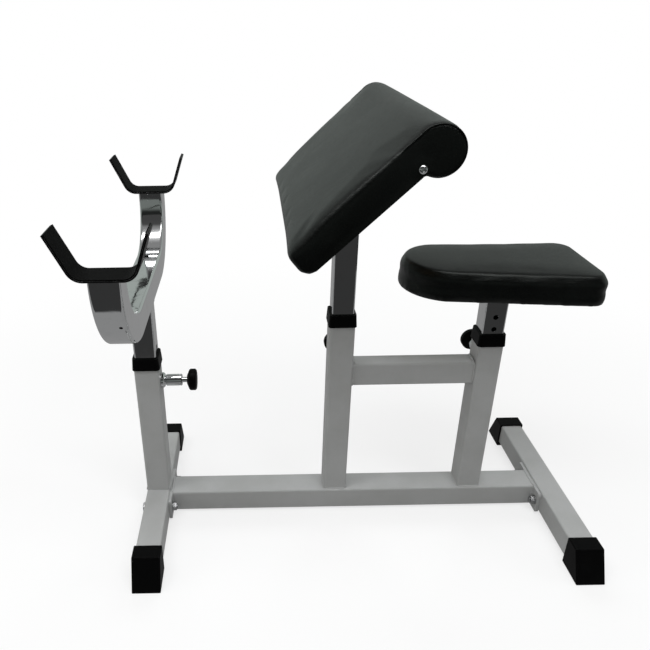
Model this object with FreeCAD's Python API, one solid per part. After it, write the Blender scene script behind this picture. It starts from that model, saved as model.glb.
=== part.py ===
# Preacher curl bench: a steel frame on two cross feet carries three telescoping posts, one each for
# the bar rack, the arm pad and the seat. Millimetres, +Z up, +X from the bar rack towards the seat.
# The origin lies on the floor, under the middle of the bench's overall box.
import FreeCAD, Part
import math
import os

V = FreeCAD.Vector
X_AXIS = V(1, 0, 0)
Y_AXIS = V(0, 1, 0)
Z_AXIS = V(0, 0, 1)

# Cuts and fits
overrun = 5.0             # how far a cutting tool passes beyond what it cuts
slide_clearance = 0.25    # post in its collar and glide in its upright, each side
plastic_clearance = 0.1   # plastic piece on or in a tube, each side
soft_clearance = 0.3      # cushion to its board and screws
run_clearance = 0.05      # plunger in its barrel, on the radius
pass_clearance = 0.4      # plunger tip in the tube holes, on the radius
bolt_clearance = 0.3      # fastener in its hole, on the radius

# Places along the bench; the offsets are measured from the arm upright
foot_spacing = 873.0      # between the middles of the two cross feet
rack_offset = 395.0
seat_offset = 300.0

# Cross feet and their caps
foot_tube = 50.0
foot_wall = 2.0
foot_tube_length = 456.0
foot_ground = 10.0        # floor to the underside of the foot tube
tube_corner = 4.0         # outer corner radius of every frame tube
cap_wall = 3.5
cap_grip = 28.0           # length of tube inside a cap
cap_top_reach = 7.0       # tube end to the cap's upper outer edge
cap_sole_reach = 40.0     # tube end to the cap's lower outer edge
cap_edge = 2.0

# Main beam and its flanges
beam_width = 60.0
beam_height = 50.0
beam_wall = 2.0
beam_drop = 5.0           # beam top below the foot tube's top
flange_length = 122.0
flange_thickness = 6.0
flange_corner = 6.0
flange_bolt_spacing = 92.0

# Flange bolts
bolt_radius = 5.0
bolt_head_flats = 17.0
bolt_head_height = 6.4
bolt_nut_height = 8.0
bolt_end = 3.0            # thread that stands out of the nut
washer_radius = 10.0
washer_thickness = 2.0

# Uprights, crossbar and collars
upright_tube = 50.0
upright_wall = 1.5
rack_upright_top = 388.5
arm_upright_top = 477.5
seat_upright_top = 429.5
crossbar_width = 40.0
crossbar_height = 50.0
crossbar_wall = 1.5
crossbar_base = 319.0     # floor to the crossbar's underside
collar_skirt = 22.0       # length of collar outside the upright
collar_lip = 3.0
collar_wall = 3.0
collar_taper = 1.6        # how far each side of the collar leans in at its top
collar_sleeve = 38.0      # length of collar inside the upright

# Telescoping posts
post_tube = 44.0
post_wall = 2.0
post_tail = 30.0          # post below its lowest hole
hole_pitch = 26.0
rack_holes_up = 3         # holes above the pin's one
rack_holes_down = 3
arm_holes_up = 2
arm_holes_down = 3
seat_holes_up = 4
seat_holes_down = 2
rack_post_top = 502.0
glide_flange = 6.0
glide_plug = 18.0

# Pull pins
rack_pin_height = 329.5
arm_pin_height = 366.0
seat_pin_height = 366.0
pin_travel = 10.0
pin_standoff = 0.5        # plunger tip to the post's face when drawn out
pin_stop_gap = 0.4
tip_radius = 4.8
tip_chamfer = 1.5
shaft_radius = 5.5
plunger_collar_thickness = 3.0
plunger_collar_gap = 0.4  # plunger collar to the chamber wall, on the radius
nut_radius = 16.0
nut_height = 8.5
nut_chamfer = 2.5
barrel_nose_radius = 8.0
barrel_neck_radius = 10.0
barrel_neck = 2.5
barrel_radius = 12.2
barrel_length = 33.0
barrel_chamfer = 1.2
barrel_end_wall = 4.0
barrel_floor = 1.0        # wall between the neck and the spring chamber
barrel_groove_width = 2.0
barrel_groove_depth = 1.0
chamber_radius = 9.0
knob_radius = 22.5
knob_height = 20.0
knob_bore_depth = 13.0
spring_wire_radius = 0.6
spring_end_gap = 0.2
spring_turns = 5
quarter_turns = 4

# Bar yoke
yoke_width = 50.0
yoke_depth = 52.0
yoke_wall = 2.5
yoke_span = 520.0         # between the middles of the two arms
yoke_bend = 150.0         # outer radius of the two bends
yoke_arm = 8.0            # straight top of each arm, above its bend
yoke_corner = 6.0
yoke_vent_radius = 3.0
yoke_vent_angle = 30.0    # degrees down the near bend
yoke_vent_offset = 14.0   # from the yoke's middle, towards the seat

# Bar hooks and their liners
hook_width = 52.0
hook_strap = 3.0
hook_liner = 2.0
hook_flat = 59.0
hook_bend = 21.5          # inner bend radius of the liner
hook_front_arm = 63.0     # straight part of the arm away from the seat
hook_front_angle = 65.0   # degrees between the flat and that arm
hook_rear_arm = 58.0      # straight part of the arm towards the seat
hook_rear_angle = 71.0    # degrees between the flat and that arm

# Arm pad
pad_slope = 43.1          # degrees
arm_board_height = 742.4  # floor to the board's underside on the post's axis
pad_width = 540.0
pad_below = 131.6         # post's axis to the lower end, down the slope
pad_roll_reach = 127.6    # post's axis to the roll's axis, up the slope
pad_thickness = 48.0
pad_crown = 5.5
pad_low_round = 16.0
pad_top_round = 11.0
pad_end_inset = 4.0
roll_radius = 38.9
roll_rise = 11.0          # roll's axis above the board's underside
roll_top_angle = 100.0    # degrees from the slope to where the face meets the roll
arm_board_thickness = 18.0
arm_board_margin = 8.0
arm_board_reach = 108.0   # post's axis to the board's upper end
arm_plate_thickness = 5.0
arm_plate_length = 150.0
arm_plate_width = 120.0
side_screw_reach = 94.6   # post's axis to the side screws, up the slope
side_screw_radius = 3.0
side_screw_grip = 30.0
side_screw_head_radius = 6.5
side_screw_head_height = 5.0
side_screw_socket_flats = 5.0
side_screw_socket_depth = 2.5

# Seat
seat_board_height = 530.0  # floor to the board's underside on the post's axis
seat_rake = 1.6           # degrees down towards the square end
seat_rear = 170.5         # post's axis to the square end
seat_front = 193.5        # post's axis to the round end
seat_rear_width = 210.0
seat_front_width = 176.0
seat_front_round = 71.5
seat_corner = 28.0
seat_thickness = 51.0
seat_crown = 6.0
seat_edge_round = 10.0
seat_board_thickness = 18.0
seat_board_margin = 8.0
seat_plate_thickness = 5.0
seat_plate_length = 180.0
seat_plate_width = 120.0
plate_corner = 8.0

# Plate screws
screw_radius = 4.0
screw_head_flats = 13.0
screw_head_height = 5.3
screw_grip = 11.0         # screw inside the board
screw_inset = 18.0        # screw's axis to the plate's edges
screw_washer_radius = 8.0
screw_washer_thickness = 1.6

# Shares that shape the soft and turned pieces
knob_profile_shares = ((0.42, 0.0), (0.9, 0.22), (1.0, 0.36), (1.0, 0.84), (0.9, 0.97), (0.78, 1.0))
pad_station_shares = (
    (-1.0, 1.0, 0.2), (-0.985, 0.35, 0.4), (-0.955, 0.0, 0.6), (-0.5, 0.0, 0.9), (0.0, 0.0, 1.0),
    (0.5, 0.0, 0.9), (0.955, 0.0, 0.6), (0.985, 0.35, 0.4), (1.0, 1.0, 0.2),
)
seat_side_shares = (
    (0.0, 0.45), (0.1, 0.05), (0.22, 0.0), (0.5, 0.2), (0.76, 0.05), (0.9, 0.3), (1.0, 1.0),
)
seat_crown_shares = ((0.55, 2.6), (0.88, 4.4), (1.0, 6.0))

# Heights and places that follow from the sizes above
rear_foot_offset = foot_spacing - rack_offset
foot_top = foot_ground + foot_tube
foot_middle = foot_ground + foot_tube / 2
beam_top = foot_top - beam_drop
beam_base = beam_top - beam_height
beam_middle = beam_base + beam_height / 2
beam_start = foot_tube / 2 + flange_thickness - rack_offset
beam_end = rear_foot_offset - foot_tube / 2 - flange_thickness
upright_bore = upright_tube - 2 * upright_wall
pin_hole_radius = tip_radius + pass_clearance
yoke_half = yoke_span / 2 + yoke_depth / 2
yoke_top = rack_post_top + yoke_bend + yoke_arm
hook_outer_bend = hook_bend + hook_liner + hook_strap
hook_bend_reach = hook_flat / 2 + hook_outer_bend * math.sin(math.radians(hook_front_angle))
hook_reach = hook_bend_reach + hook_front_arm * math.cos(math.radians(hook_front_angle))
bench_start = -rack_offset - hook_reach
bench_end = rear_foot_offset + foot_tube / 2 + washer_thickness + bolt_head_height
bench_middle = (bench_start + bench_end) / 2


def rounded_section(across, deep, corner, height):
    """Closed wire of a rounded rectangle, across along X and deep along Y."""
    edges = []
    half_x = across / 2
    half_y = deep / 2
    turn = corner * (1 - math.sqrt(0.5))
    corners = ((1, 1), (-1, 1), (-1, -1), (1, -1))
    starts = []
    ends = []
    for side_x, side_y in corners:
        on_y = V(side_x * (half_x - corner), side_y * half_y, height)
        on_x = V(side_x * half_x, side_y * (half_y - corner), height)
        middle = V(side_x * (half_x - turn), side_y * (half_y - turn), height)
        first, last = (on_x, on_y) if side_x == side_y else (on_y, on_x)
        edges.append(Part.Arc(first, middle, last).toShape())
        starts.append(first)
        ends.append(last)
    for index, end in enumerate(ends):
        edges.append(Part.LineSegment(end, starts[(index + 1) % len(starts)]).toShape())
    return Part.Wire(Part.__sortEdges__(edges))


def rounded_bar(across, deep, corner, length):
    """Solid bar of rounded rectangular section, standing on the origin."""
    return Part.Face(rounded_section(across, deep, corner, 0)).extrude(V(0, 0, length))


def tube(across, deep, wall, corner, length):
    """Hollow bar of rounded rectangular section, standing on the origin."""
    inner_corner = max(corner - wall, corner / 8)
    bore = rounded_bar(across - 2 * wall, deep - 2 * wall, inner_corner, length)
    return rounded_bar(across, deep, corner, length).cut(bore)


def along_x(shape):
    """Lays a standing shape along +X."""
    return shape.rotated(V(0, 0, 0), Y_AXIS, 90)


def along_y(shape):
    """Lays a standing shape along +Y."""
    return shape.rotated(V(0, 0, 0), X_AXIS, -90)


def aimed(shape, origin, direction):
    """Turns a shape that stands along +Z to the direction and moves it to the origin given."""
    placed = shape.copy()
    turn = FreeCAD.Rotation(Z_AXIS, direction)
    placed.Placement = FreeCAD.Placement(origin, turn).multiply(shape.Placement)
    return placed


def turned(profile):
    """Solid of revolution about Z from (radius, height) points."""
    points = [V(radius, 0, height) for radius, height in profile]
    face = Part.Face(Part.makePolygon(points + points[:1]))
    return face.revolve(V(0, 0, 0), Z_AXIS, 360)


def hexagon(flats, height):
    """Hexagonal prism on the origin, given its width across the flats."""
    radius = flats / 2 / math.cos(math.pi / 6)
    corners = [i * math.pi / 3 for i in range(7)]
    points = [V(radius * math.cos(turn), radius * math.sin(turn), 0) for turn in corners]
    return Part.Face(Part.makePolygon(points)).extrude(V(0, 0, height))


def washer(inner, outer, thickness):
    """Flat ring on the origin."""
    return Part.makeCylinder(outer, thickness).cut(Part.makeCylinder(inner, thickness))


def hex_bolt(radius, flats, head_height, length):
    """Bolt whose head stands on the origin and whose shank runs down."""
    shank = Part.makeCylinder(radius, length, V(0, 0, -length))
    return hexagon(flats, head_height).fuse(shank).removeSplitter()


def foot_cap(side):
    """Wedge cap on one end of a cross foot at the origin of X, its sole on the floor."""
    tube_end = foot_tube_length / 2
    grip = tube_end - cap_grip
    outline = (
        (grip, 0), (tube_end + cap_sole_reach, 0),
        (tube_end + cap_top_reach, foot_top + cap_wall), (grip, foot_top + cap_wall),
    )
    half = foot_tube / 2 + cap_wall
    points = [V(-half, reach, height) for reach, height in outline]
    wedge = Part.Face(Part.makePolygon(points + points[:1])).extrude(V(2 * half, 0, 0))
    wedge = wedge.makeFillet(cap_edge, wedge.Edges)
    socket_side = foot_tube + 2 * plastic_clearance
    socket_depth = cap_grip + plastic_clearance
    socket = along_y(rounded_bar(socket_side, socket_side, tube_corner, socket_depth + overrun))
    cap = wedge.cut(socket.translated(V(0, grip - overrun, foot_middle)))
    return cap if side > 0 else cap.mirror(V(0, 0, 0), Y_AXIS)


def flange_bolt_places():
    """Bolt axes on the two flanges: foot, side across the bench, and direction from foot to beam."""
    for foot_x, inward in ((-rack_offset, 1), (rear_foot_offset, -1)):
        for side in (-1, 1):
            yield V(foot_x - inward * foot_tube / 2, side * flange_bolt_spacing / 2, beam_middle), inward


def feet_nodes():
    """Cross feet, caps, beam, flanges and the bolts that join them."""
    nodes = {}
    hole_radius = bolt_radius + bolt_clearance
    bolt_holes = []
    for outer, inward in flange_bolt_places():
        start = outer - X_AXIS * inward * overrun
        depth = foot_tube + flange_thickness + 2 * overrun
        bolt_holes.append(Part.makeCylinder(hole_radius, depth, start, X_AXIS * inward))
    holes = Part.makeCompound(bolt_holes)
    foot = along_y(tube(foot_tube, foot_tube, foot_wall, tube_corner, foot_tube_length))
    foot = foot.translated(V(0, -foot_tube_length / 2, foot_middle))
    for name, place in (("rack", -rack_offset), ("seat", rear_foot_offset)):
        nodes[name + "_foot_tube"] = foot.translated(V(place, 0, 0)).cut(holes)
        for side_name, side in (("left", -1), ("right", 1)):
            nodes[f"{name}_foot_cap_{side_name}"] = foot_cap(side).translated(V(place, 0, 0))
    flange = rounded_bar(beam_height, flange_length, flange_corner, flange_thickness)
    flange = along_x(flange).translated(V(0, 0, beam_middle))
    nodes["rack_flange_plate"] = flange.translated(V(beam_start - flange_thickness, 0, 0)).cut(holes)
    nodes["seat_flange_plate"] = flange.translated(V(beam_end, 0, 0)).cut(holes)
    beam = along_x(tube(beam_height, beam_width, beam_wall, tube_corner, beam_end - beam_start))
    nodes["main_beam"] = beam.translated(V(beam_start, 0, beam_middle))
    bolts = []
    washers = []
    nuts = []
    stack = foot_tube + flange_thickness
    bolt_length = stack + 2 * washer_thickness + bolt_nut_height + bolt_end
    bolt = hex_bolt(bolt_radius, bolt_head_flats, bolt_head_height, bolt_length)
    ring = washer(hole_radius, washer_radius, washer_thickness)
    nut = hexagon(bolt_head_flats, bolt_nut_height).cut(Part.makeCylinder(bolt_radius, bolt_nut_height))
    for outer, inward in flange_bolt_places():
        inner = outer + X_AXIS * inward * stack
        bolts.append(aimed(bolt, outer - X_AXIS * inward * washer_thickness, X_AXIS * -inward))
        washers.append(aimed(ring, outer, X_AXIS * -inward))
        washers.append(aimed(ring, inner, X_AXIS * inward))
        nuts.append(aimed(nut, inner + X_AXIS * inward * washer_thickness, X_AXIS * inward))
    nodes["flange_bolts"] = Part.makeCompound(bolts)
    nodes["flange_washers"] = Part.makeCompound(washers)
    nodes["flange_nuts"] = Part.makeCompound(nuts)
    return nodes


def upright(place, base, top, pin_height, direction):
    """Upright tube with the pull pin's hole through one wall."""
    shape = tube(upright_tube, upright_tube, upright_wall, tube_corner, top - base)
    shape = shape.translated(V(place, 0, base))
    start = V(place, 0, pin_height) + direction * (upright_bore / 2 - overrun)
    return shape.cut(Part.makeCylinder(pin_hole_radius, upright_wall + 2 * overrun, start, direction))


def collar(place, top):
    """Plastic collar over the top of an upright, with a guide sleeve inside it."""
    low = upright_tube + 2 * collar_wall
    high = low - 2 * collar_taper
    height = collar_skirt + collar_lip
    shell = Part.makeLoft([
        rounded_section(low, low, tube_corner + collar_wall, 0),
        rounded_section(high, high, tube_corner + collar_wall, height),
    ], True, True)
    tube_room = upright_tube + 2 * plastic_clearance
    shell = shell.cut(rounded_bar(tube_room, tube_room, tube_corner, collar_skirt))
    sleeve_side = upright_bore - 2 * plastic_clearance
    sleeve_length = collar_sleeve + collar_lip
    sleeve = rounded_bar(sleeve_side, sleeve_side, tube_corner - upright_wall, sleeve_length)
    sleeve = sleeve.translated(V(0, 0, height - sleeve_length))
    post_room = post_tube + 2 * slide_clearance
    bore = rounded_bar(post_room, post_room, tube_corner, sleeve_length + 2 * overrun)
    whole = shell.fuse(sleeve).cut(bore.translated(V(0, 0, height - sleeve_length - overrun)))
    return whole.removeSplitter().translated(V(place, 0, top - collar_skirt))


def upright_nodes():
    """Uprights, crossbar and collars."""
    nodes = {
        "rack_upright": upright(-rack_offset, foot_top, rack_upright_top, rack_pin_height, X_AXIS),
        "arm_upright": upright(0, beam_top, arm_upright_top, arm_pin_height, Y_AXIS),
        "seat_upright": upright(seat_offset, beam_top, seat_upright_top, seat_pin_height, Y_AXIS),
        "rack_collar": collar(-rack_offset, rack_upright_top),
        "arm_collar": collar(0, arm_upright_top),
        "seat_collar": collar(seat_offset, seat_upright_top),
    }
    bar = tube(crossbar_height, crossbar_width, crossbar_wall, tube_corner, seat_offset - upright_tube)
    crossbar_middle = crossbar_base + crossbar_height / 2
    nodes["upright_crossbar"] = along_x(bar).translated(V(upright_tube / 2, 0, crossbar_middle))
    return nodes


def post(place, base, top, pin_height, holes_down, holes_up, direction):
    """Telescoping post with a row of holes through two opposite walls."""
    shape = tube(post_tube, post_tube, post_wall, tube_corner, top - base)
    shape = shape.translated(V(place, 0, base))
    reach = post_tube / 2 + overrun
    holes = []
    for step in range(-holes_down, holes_up + 1):
        start = V(place, 0, pin_height + step * hole_pitch) - direction * reach
        holes.append(Part.makeCylinder(pin_hole_radius, 2 * reach, start, direction))
    return shape.cut(Part.makeCompound(holes))


def glide(place, base):
    """Plastic glide that plugs a post's foot and guides it inside the upright."""
    side = upright_bore - 2 * slide_clearance
    plug_side = post_tube - 2 * post_wall - 2 * plastic_clearance
    flange = rounded_bar(side, side, tube_corner - upright_wall, glide_flange)
    plug = rounded_bar(plug_side, plug_side, tube_corner - post_wall, glide_flange + glide_plug)
    return flange.fuse(plug).removeSplitter().translated(V(place, 0, base - glide_flange))


def spring_path(radius, length):
    """Wire of a helix about Z as two tangent arcs for every quarter turn, and points along it."""
    pitch = length / spring_turns
    count = spring_turns * quarter_turns
    rise = pitch / (2 * math.pi)
    slant = math.hypot(radius, rise)
    edges = []
    samples = []
    for index in range(count):
        ends = []
        for step in (index, index + 1):
            angle = step * 2 * math.pi / quarter_turns
            point = V(radius * math.cos(angle), radius * math.sin(angle), rise * angle)
            tangent = V(-radius * math.sin(angle), radius * math.cos(angle), rise) * (1 / slant)
            ends.append((point, tangent))
        (start, out), (stop, into) = ends
        chord = stop - start
        both = out + into
        bend = 2 * (out.dot(into) - 1)
        along = chord.dot(both)
        reach = (along - math.sqrt(along * along - bend * chord.dot(chord))) / bend
        knee_a = start + out * reach
        knee_b = stop - into * reach
        joint = (knee_a + knee_b) * 0.5
        for first, knee, last in ((start, knee_a, joint), (joint, knee_b, stop)):
            arm_a = (knee - first).normalize()
            arm_b = (last - knee).normalize()
            turn = math.acos(max(-1.0, min(1.0, arm_a.dot(arm_b))))
            share = math.tan(turn / 4) / math.tan(turn / 2)
            base = (first + last) * 0.5
            middle = base + (knee - base) * share
            edges.append(Part.Arc(first, middle, last).toShape())
            samples.extend((first, middle))
    return Part.Wire(edges), samples


def least_gap(samples):
    """Least clear distance between one turn of the spring and the others, on points along it."""
    per_turn = len(samples) // spring_turns
    gaps = []
    for index, point in enumerate(samples):
        for other in samples[index + per_turn // 2:]:
            gaps.append(point.distanceToPoint(other) - 2 * spring_wire_radius)
    return min(gaps)


def pin_nodes(name, origin, direction):
    """Pull pin on an upright's face: weld nut, barrel, spring, plunger and knob."""
    neck_start = nut_height
    body_start = neck_start + barrel_neck
    barrel_end = body_start + barrel_length
    chamber_start = body_start + barrel_floor
    chamber_end = barrel_end - barrel_end_wall
    collar_start = chamber_start + pin_travel + pin_stop_gap
    collar_end = collar_start + plunger_collar_thickness
    tip_end = pin_standoff - (upright_tube - post_tube) / 2
    knob_start = barrel_end + pin_travel + pin_stop_gap
    nose_bore = tip_radius + run_clearance
    shaft_bore = shaft_radius + run_clearance
    groove_end = chamber_end
    groove_start = groove_end - barrel_groove_width
    groove_radius = barrel_radius - barrel_groove_depth

    nut = turned((
        (barrel_nose_radius, 0), (nut_radius, 0), (nut_radius, nut_height - nut_chamfer),
        (nut_radius - nut_chamfer, nut_height), (barrel_nose_radius, nut_height),
    ))
    barrel = turned((
        (nose_bore, 0), (barrel_nose_radius, 0), (barrel_nose_radius, neck_start),
        (barrel_neck_radius, neck_start), (barrel_neck_radius, body_start),
        (barrel_radius - barrel_chamfer, body_start), (barrel_radius, body_start + barrel_chamfer),
        (barrel_radius, groove_start), (groove_radius, groove_start), (groove_radius, groove_end),
        (barrel_radius, groove_end), (barrel_radius, barrel_end - barrel_chamfer),
        (barrel_radius - barrel_chamfer, barrel_end), (shaft_bore, barrel_end),
        (shaft_bore, chamber_end), (chamber_radius, chamber_end),
        (chamber_radius, chamber_start), (nose_bore, chamber_start),
    ))
    plunger_collar = chamber_radius - plunger_collar_gap
    plunger = turned((
        (0, tip_end), (tip_radius - tip_chamfer, tip_end), (tip_radius, tip_end + tip_chamfer),
        (tip_radius, collar_start), (plunger_collar, collar_start), (plunger_collar, collar_end),
        (shaft_radius, collar_end), (shaft_radius, knob_start + knob_bore_depth),
        (0, knob_start + knob_bore_depth),
    ))
    outline = [
        (radius * knob_radius, knob_start + height * knob_height) for radius, height in knob_profile_shares
    ]
    bore_end = knob_start + knob_bore_depth
    knob = turned(
        [(shaft_radius, knob_start)] + outline
        + [(0, knob_start + knob_height), (0, bore_end), (shaft_radius, bore_end)]
    )
    coil_radius = (chamber_radius + shaft_radius) / 2
    coil_start = collar_end + spring_end_gap + spring_wire_radius
    coil_end = chamber_end - spring_end_gap - spring_wire_radius
    path, samples = spring_path(coil_radius, coil_end - coil_start)
    heading = path.Edges[0].tangentAt(0)
    ring = Part.Wire(Part.makeCircle(spring_wire_radius, V(coil_radius, 0, 0), heading))
    spring = path.makePipeShell([ring], True, False).translated(V(0, 0, coil_start))
    print(name, "pin spring, least gap between turns", round(least_gap(samples), 3))
    pieces = {"nut": nut, "barrel": barrel, "spring": spring, "plunger": plunger, "knob": knob}
    return {f"{name}_pin_{piece}": aimed(shape, origin, direction) for piece, shape in pieces.items()}


def yoke_outline(inset, lift):
    """Face of the U across the bench, drawn in by the inset on every side but the arm tops."""
    side = yoke_half - inset
    low = rack_post_top + inset
    top = yoke_top + lift
    inner_side = yoke_half - yoke_depth + inset
    inner_low = rack_post_top + yoke_depth - inset
    middle = yoke_half - yoke_bend
    rise = rack_post_top + yoke_bend
    outer_bend = yoke_bend - inset
    inner_bend = yoke_bend - yoke_depth + inset
    slant = math.sqrt(0.5)
    edges = []

    def line(start, end):
        edges.append(Part.LineSegment(V(0, *start), V(0, *end)).toShape())

    def bend(sign, radius, from_side, from_low):
        centre = V(0, sign * middle, rise)
        knee = centre + V(0, sign * radius * slant, -radius * slant)
        edges.append(Part.Arc(V(0, *from_side), knee, V(0, *from_low)).toShape())

    for sign in (-1, 1):
        line((sign * side, top), (sign * side, rise))
        bend(sign, outer_bend, (sign * side, rise), (sign * middle, low))
        line((sign * side, top), (sign * inner_side, top))
        line((sign * inner_side, top), (sign * inner_side, rise))
        bend(sign, inner_bend, (sign * inner_side, rise), (sign * middle, inner_low))
    line((-middle, low), (middle, low))
    line((-middle, inner_low), (middle, inner_low))
    return Part.Face(Part.Wire(Part.__sortEdges__(edges)))


def yoke_solid(inset, lift):
    """Solid of the U with rounded long edges, drawn in by the inset."""
    width = yoke_width - 2 * inset
    solid = yoke_outline(inset, lift).extrude(V(width, 0, 0)).translated(V(-width / 2, 0, 0))
    below_tops = yoke_top + lift - yoke_arm / 2
    rim = [
        edge for edge in solid.Edges
        if abs(edge.CenterOfMass.x) > width / 2 - yoke_wall and edge.BoundBox.ZMin < below_tops
    ]
    return solid.makeFillet(yoke_corner - inset, rim)


def bar_yoke():
    """Chromed square tube bent to a U, open at the arm tops, on top of the rack post."""
    shape = yoke_solid(0, 0).cut(yoke_solid(yoke_wall, overrun))
    angle = math.radians(yoke_vent_angle)
    aim = V(0, -math.cos(angle), -math.sin(angle))
    centre = V(yoke_vent_offset, yoke_bend - yoke_half, rack_post_top + yoke_bend)
    start = centre + aim * (yoke_bend - yoke_wall - overrun)
    return shape.cut(Part.makeCylinder(yoke_vent_radius, yoke_wall + 2 * overrun, start, aim))


def bent_strip(inner, outer):
    """Strip of the hook between two bend radii, flat in the middle with an arm up each side."""
    centre_height = yoke_top + hook_outer_bend
    edges = []

    def on_bend(sign, radius, angle):
        across = hook_flat / 2 + radius * math.sin(angle)
        return V(sign * across, 0, centre_height - radius * math.cos(angle))

    for radius in (inner, outer):
        edges.append(Part.LineSegment(on_bend(-1, radius, 0), on_bend(1, radius, 0)).toShape())
    arms = ((-1, hook_front_angle, hook_front_arm), (1, hook_rear_angle, hook_rear_arm))
    for sign, angle, arm in arms:
        turn = math.radians(angle)
        reach = V(sign * arm * math.cos(turn), 0, arm * math.sin(turn))
        for radius in (inner, outer):
            knee = [on_bend(sign, radius, turn * share) for share in (0, 0.5, 1)]
            edges.append(Part.Arc(*knee).toShape())
            edges.append(Part.LineSegment(knee[-1], knee[-1] + reach).toShape())
        tip_start = on_bend(sign, inner, turn) + reach
        edges.append(Part.LineSegment(tip_start, on_bend(sign, outer, turn) + reach).toShape())
    face = Part.Face(Part.Wire(Part.__sortEdges__(edges)))
    return face.extrude(V(0, hook_width, 0)).translated(V(0, -hook_width / 2, 0))


def rack_nodes():
    """Rack post, its yoke and the two lined bar hooks."""
    lowest = rack_pin_height - rack_holes_down * hole_pitch - post_tail
    nodes = {
        "rack_post": post(
            -rack_offset, lowest, rack_post_top, rack_pin_height, rack_holes_down, rack_holes_up, X_AXIS
        ),
        "rack_post_glide": glide(-rack_offset, lowest),
        "bar_yoke": bar_yoke().translated(V(-rack_offset, 0, 0)),
    }
    strap = bent_strip(hook_bend + hook_liner, hook_outer_bend)
    liner = bent_strip(hook_bend, hook_bend + hook_liner)
    for side_name, side in (("left", -1), ("right", 1)):
        place = V(-rack_offset, side * yoke_span / 2, 0)
        nodes[side_name + "_bar_hook"] = strap.translated(place)
        nodes[side_name + "_hook_liner"] = liner.translated(place)
    return nodes


def leaned(shape, slope, place, height):
    """Moves a shape from a pad's own frame, X up the slope and Z square to it, to its place."""
    return shape.rotated(V(0, 0, 0), Y_AXIS, -slope).translated(V(place, 0, height))


def on_arm_post(shape):
    """Moves a shape from the arm pad's own frame to its place on the arm post."""
    return leaned(shape, pad_slope, 0, arm_board_height)


def on_seat_post(shape):
    """Moves a shape from the seat's own frame to its place on the seat post."""
    return leaned(shape, -seat_rake, seat_offset, seat_board_height)


def mitre_block(plate_thickness):
    """Block in a pad's own frame that trims a post's top against the underside of its plate."""
    block = Part.makeBox(4 * post_tube, 2 * post_tube, 2 * post_tube)
    return block.translated(V(-2 * post_tube, -post_tube, -plate_thickness))


def arm_section(across, inset, crown):
    """Side outline of the arm pad at one place across it: slab, rounded lower end and rolled top."""
    low = inset - pad_below
    top = pad_thickness - inset
    radius = roll_radius - inset
    heel = math.degrees(math.asin(roll_rise / radius))
    slant = 1 - math.sqrt(0.5)

    def on_roll(angle):
        turn = math.radians(angle)
        return V(pad_roll_reach + radius * math.cos(turn), across, roll_rise + radius * math.sin(turn))

    underside = on_roll(180 + heel)
    low_foot = V(low + pad_low_round, across, 0)
    low_side = V(low, across, pad_low_round)
    top_side = V(low, across, top - pad_top_round)
    top_start = V(low + pad_top_round, across, top)
    top_end = on_roll(roll_top_angle)
    crest = (top_start + top_end) * 0.5 + V(0, 0, crown)
    low_knee = V(low + pad_low_round * slant, across, pad_low_round * slant)
    top_knee = V(low + pad_top_round * slant, across, top - pad_top_round * slant)
    edges = [
        Part.LineSegment(underside, low_foot).toShape(),
        Part.Arc(low_foot, low_knee, low_side).toShape(),
        Part.LineSegment(low_side, top_side).toShape(),
        Part.Arc(top_side, top_knee, top_start).toShape(),
        Part.Arc(top_start, crest, top_end).toShape(),
    ]
    sweep = roll_top_angle + 180 - heel
    thirds = [roll_top_angle - sweep * index / 6 for index in range(7)]
    for first in (0, 2, 4):
        edges.append(Part.Arc(*[on_roll(angle) for angle in thirds[first:first + 3]]).toShape())
    return Part.Wire(edges)


def plate_screw_places(length, width):
    """Middles of the four screws of a plate, from the plate's middle."""
    return [
        (side_x * (length / 2 - screw_inset), side_y * (width / 2 - screw_inset))
        for side_x in (-1, 1) for side_y in (-1, 1)
    ]


def plate_and_screws(length, width, thickness):
    """Plate under a board whose underside is at zero, with its screws, washers and screw holes."""
    plate = rounded_bar(length, width, plate_corner, thickness).translated(V(0, 0, -thickness))
    hole_radius = screw_radius + bolt_clearance
    depth = thickness + screw_washer_thickness + screw_grip
    screw = hex_bolt(screw_radius, screw_head_flats, screw_head_height, depth)
    screw = aimed(screw, V(0, 0, 0), -Z_AXIS)
    ring = washer(hole_radius, screw_washer_radius, screw_washer_thickness)
    screws = []
    washers = []
    holes = []
    for x, y in plate_screw_places(length, width):
        screws.append(screw.translated(V(x, y, -thickness - screw_washer_thickness)))
        washers.append(ring.translated(V(x, y, -thickness - screw_washer_thickness)))
        start = V(x, y, -thickness - overrun)
        hole_depth = overrun + thickness + screw_grip + bolt_clearance
        holes.append(Part.makeCylinder(hole_radius, hole_depth, start))
    holes = Part.makeCompound(holes)
    return plate.cut(holes), Part.makeCompound(screws), Part.makeCompound(washers), holes


def side_screw(side):
    """Socket-head screw in the arm pad's side, its head against the cushion."""
    head = Part.makeCylinder(side_screw_head_radius, side_screw_head_height)
    socket = hexagon(side_screw_socket_flats, side_screw_socket_depth + overrun)
    head = head.cut(socket.translated(V(0, 0, side_screw_head_height - side_screw_socket_depth)))
    length = arm_board_margin + side_screw_grip + soft_clearance
    shank = Part.makeCylinder(side_screw_radius, length, V(0, 0, -length))
    whole = head.fuse(shank).removeSplitter()
    place = V(side_screw_reach, side * (pad_width / 2 + soft_clearance), arm_board_thickness / 2)
    return aimed(whole, place, Y_AXIS * side)


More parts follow.
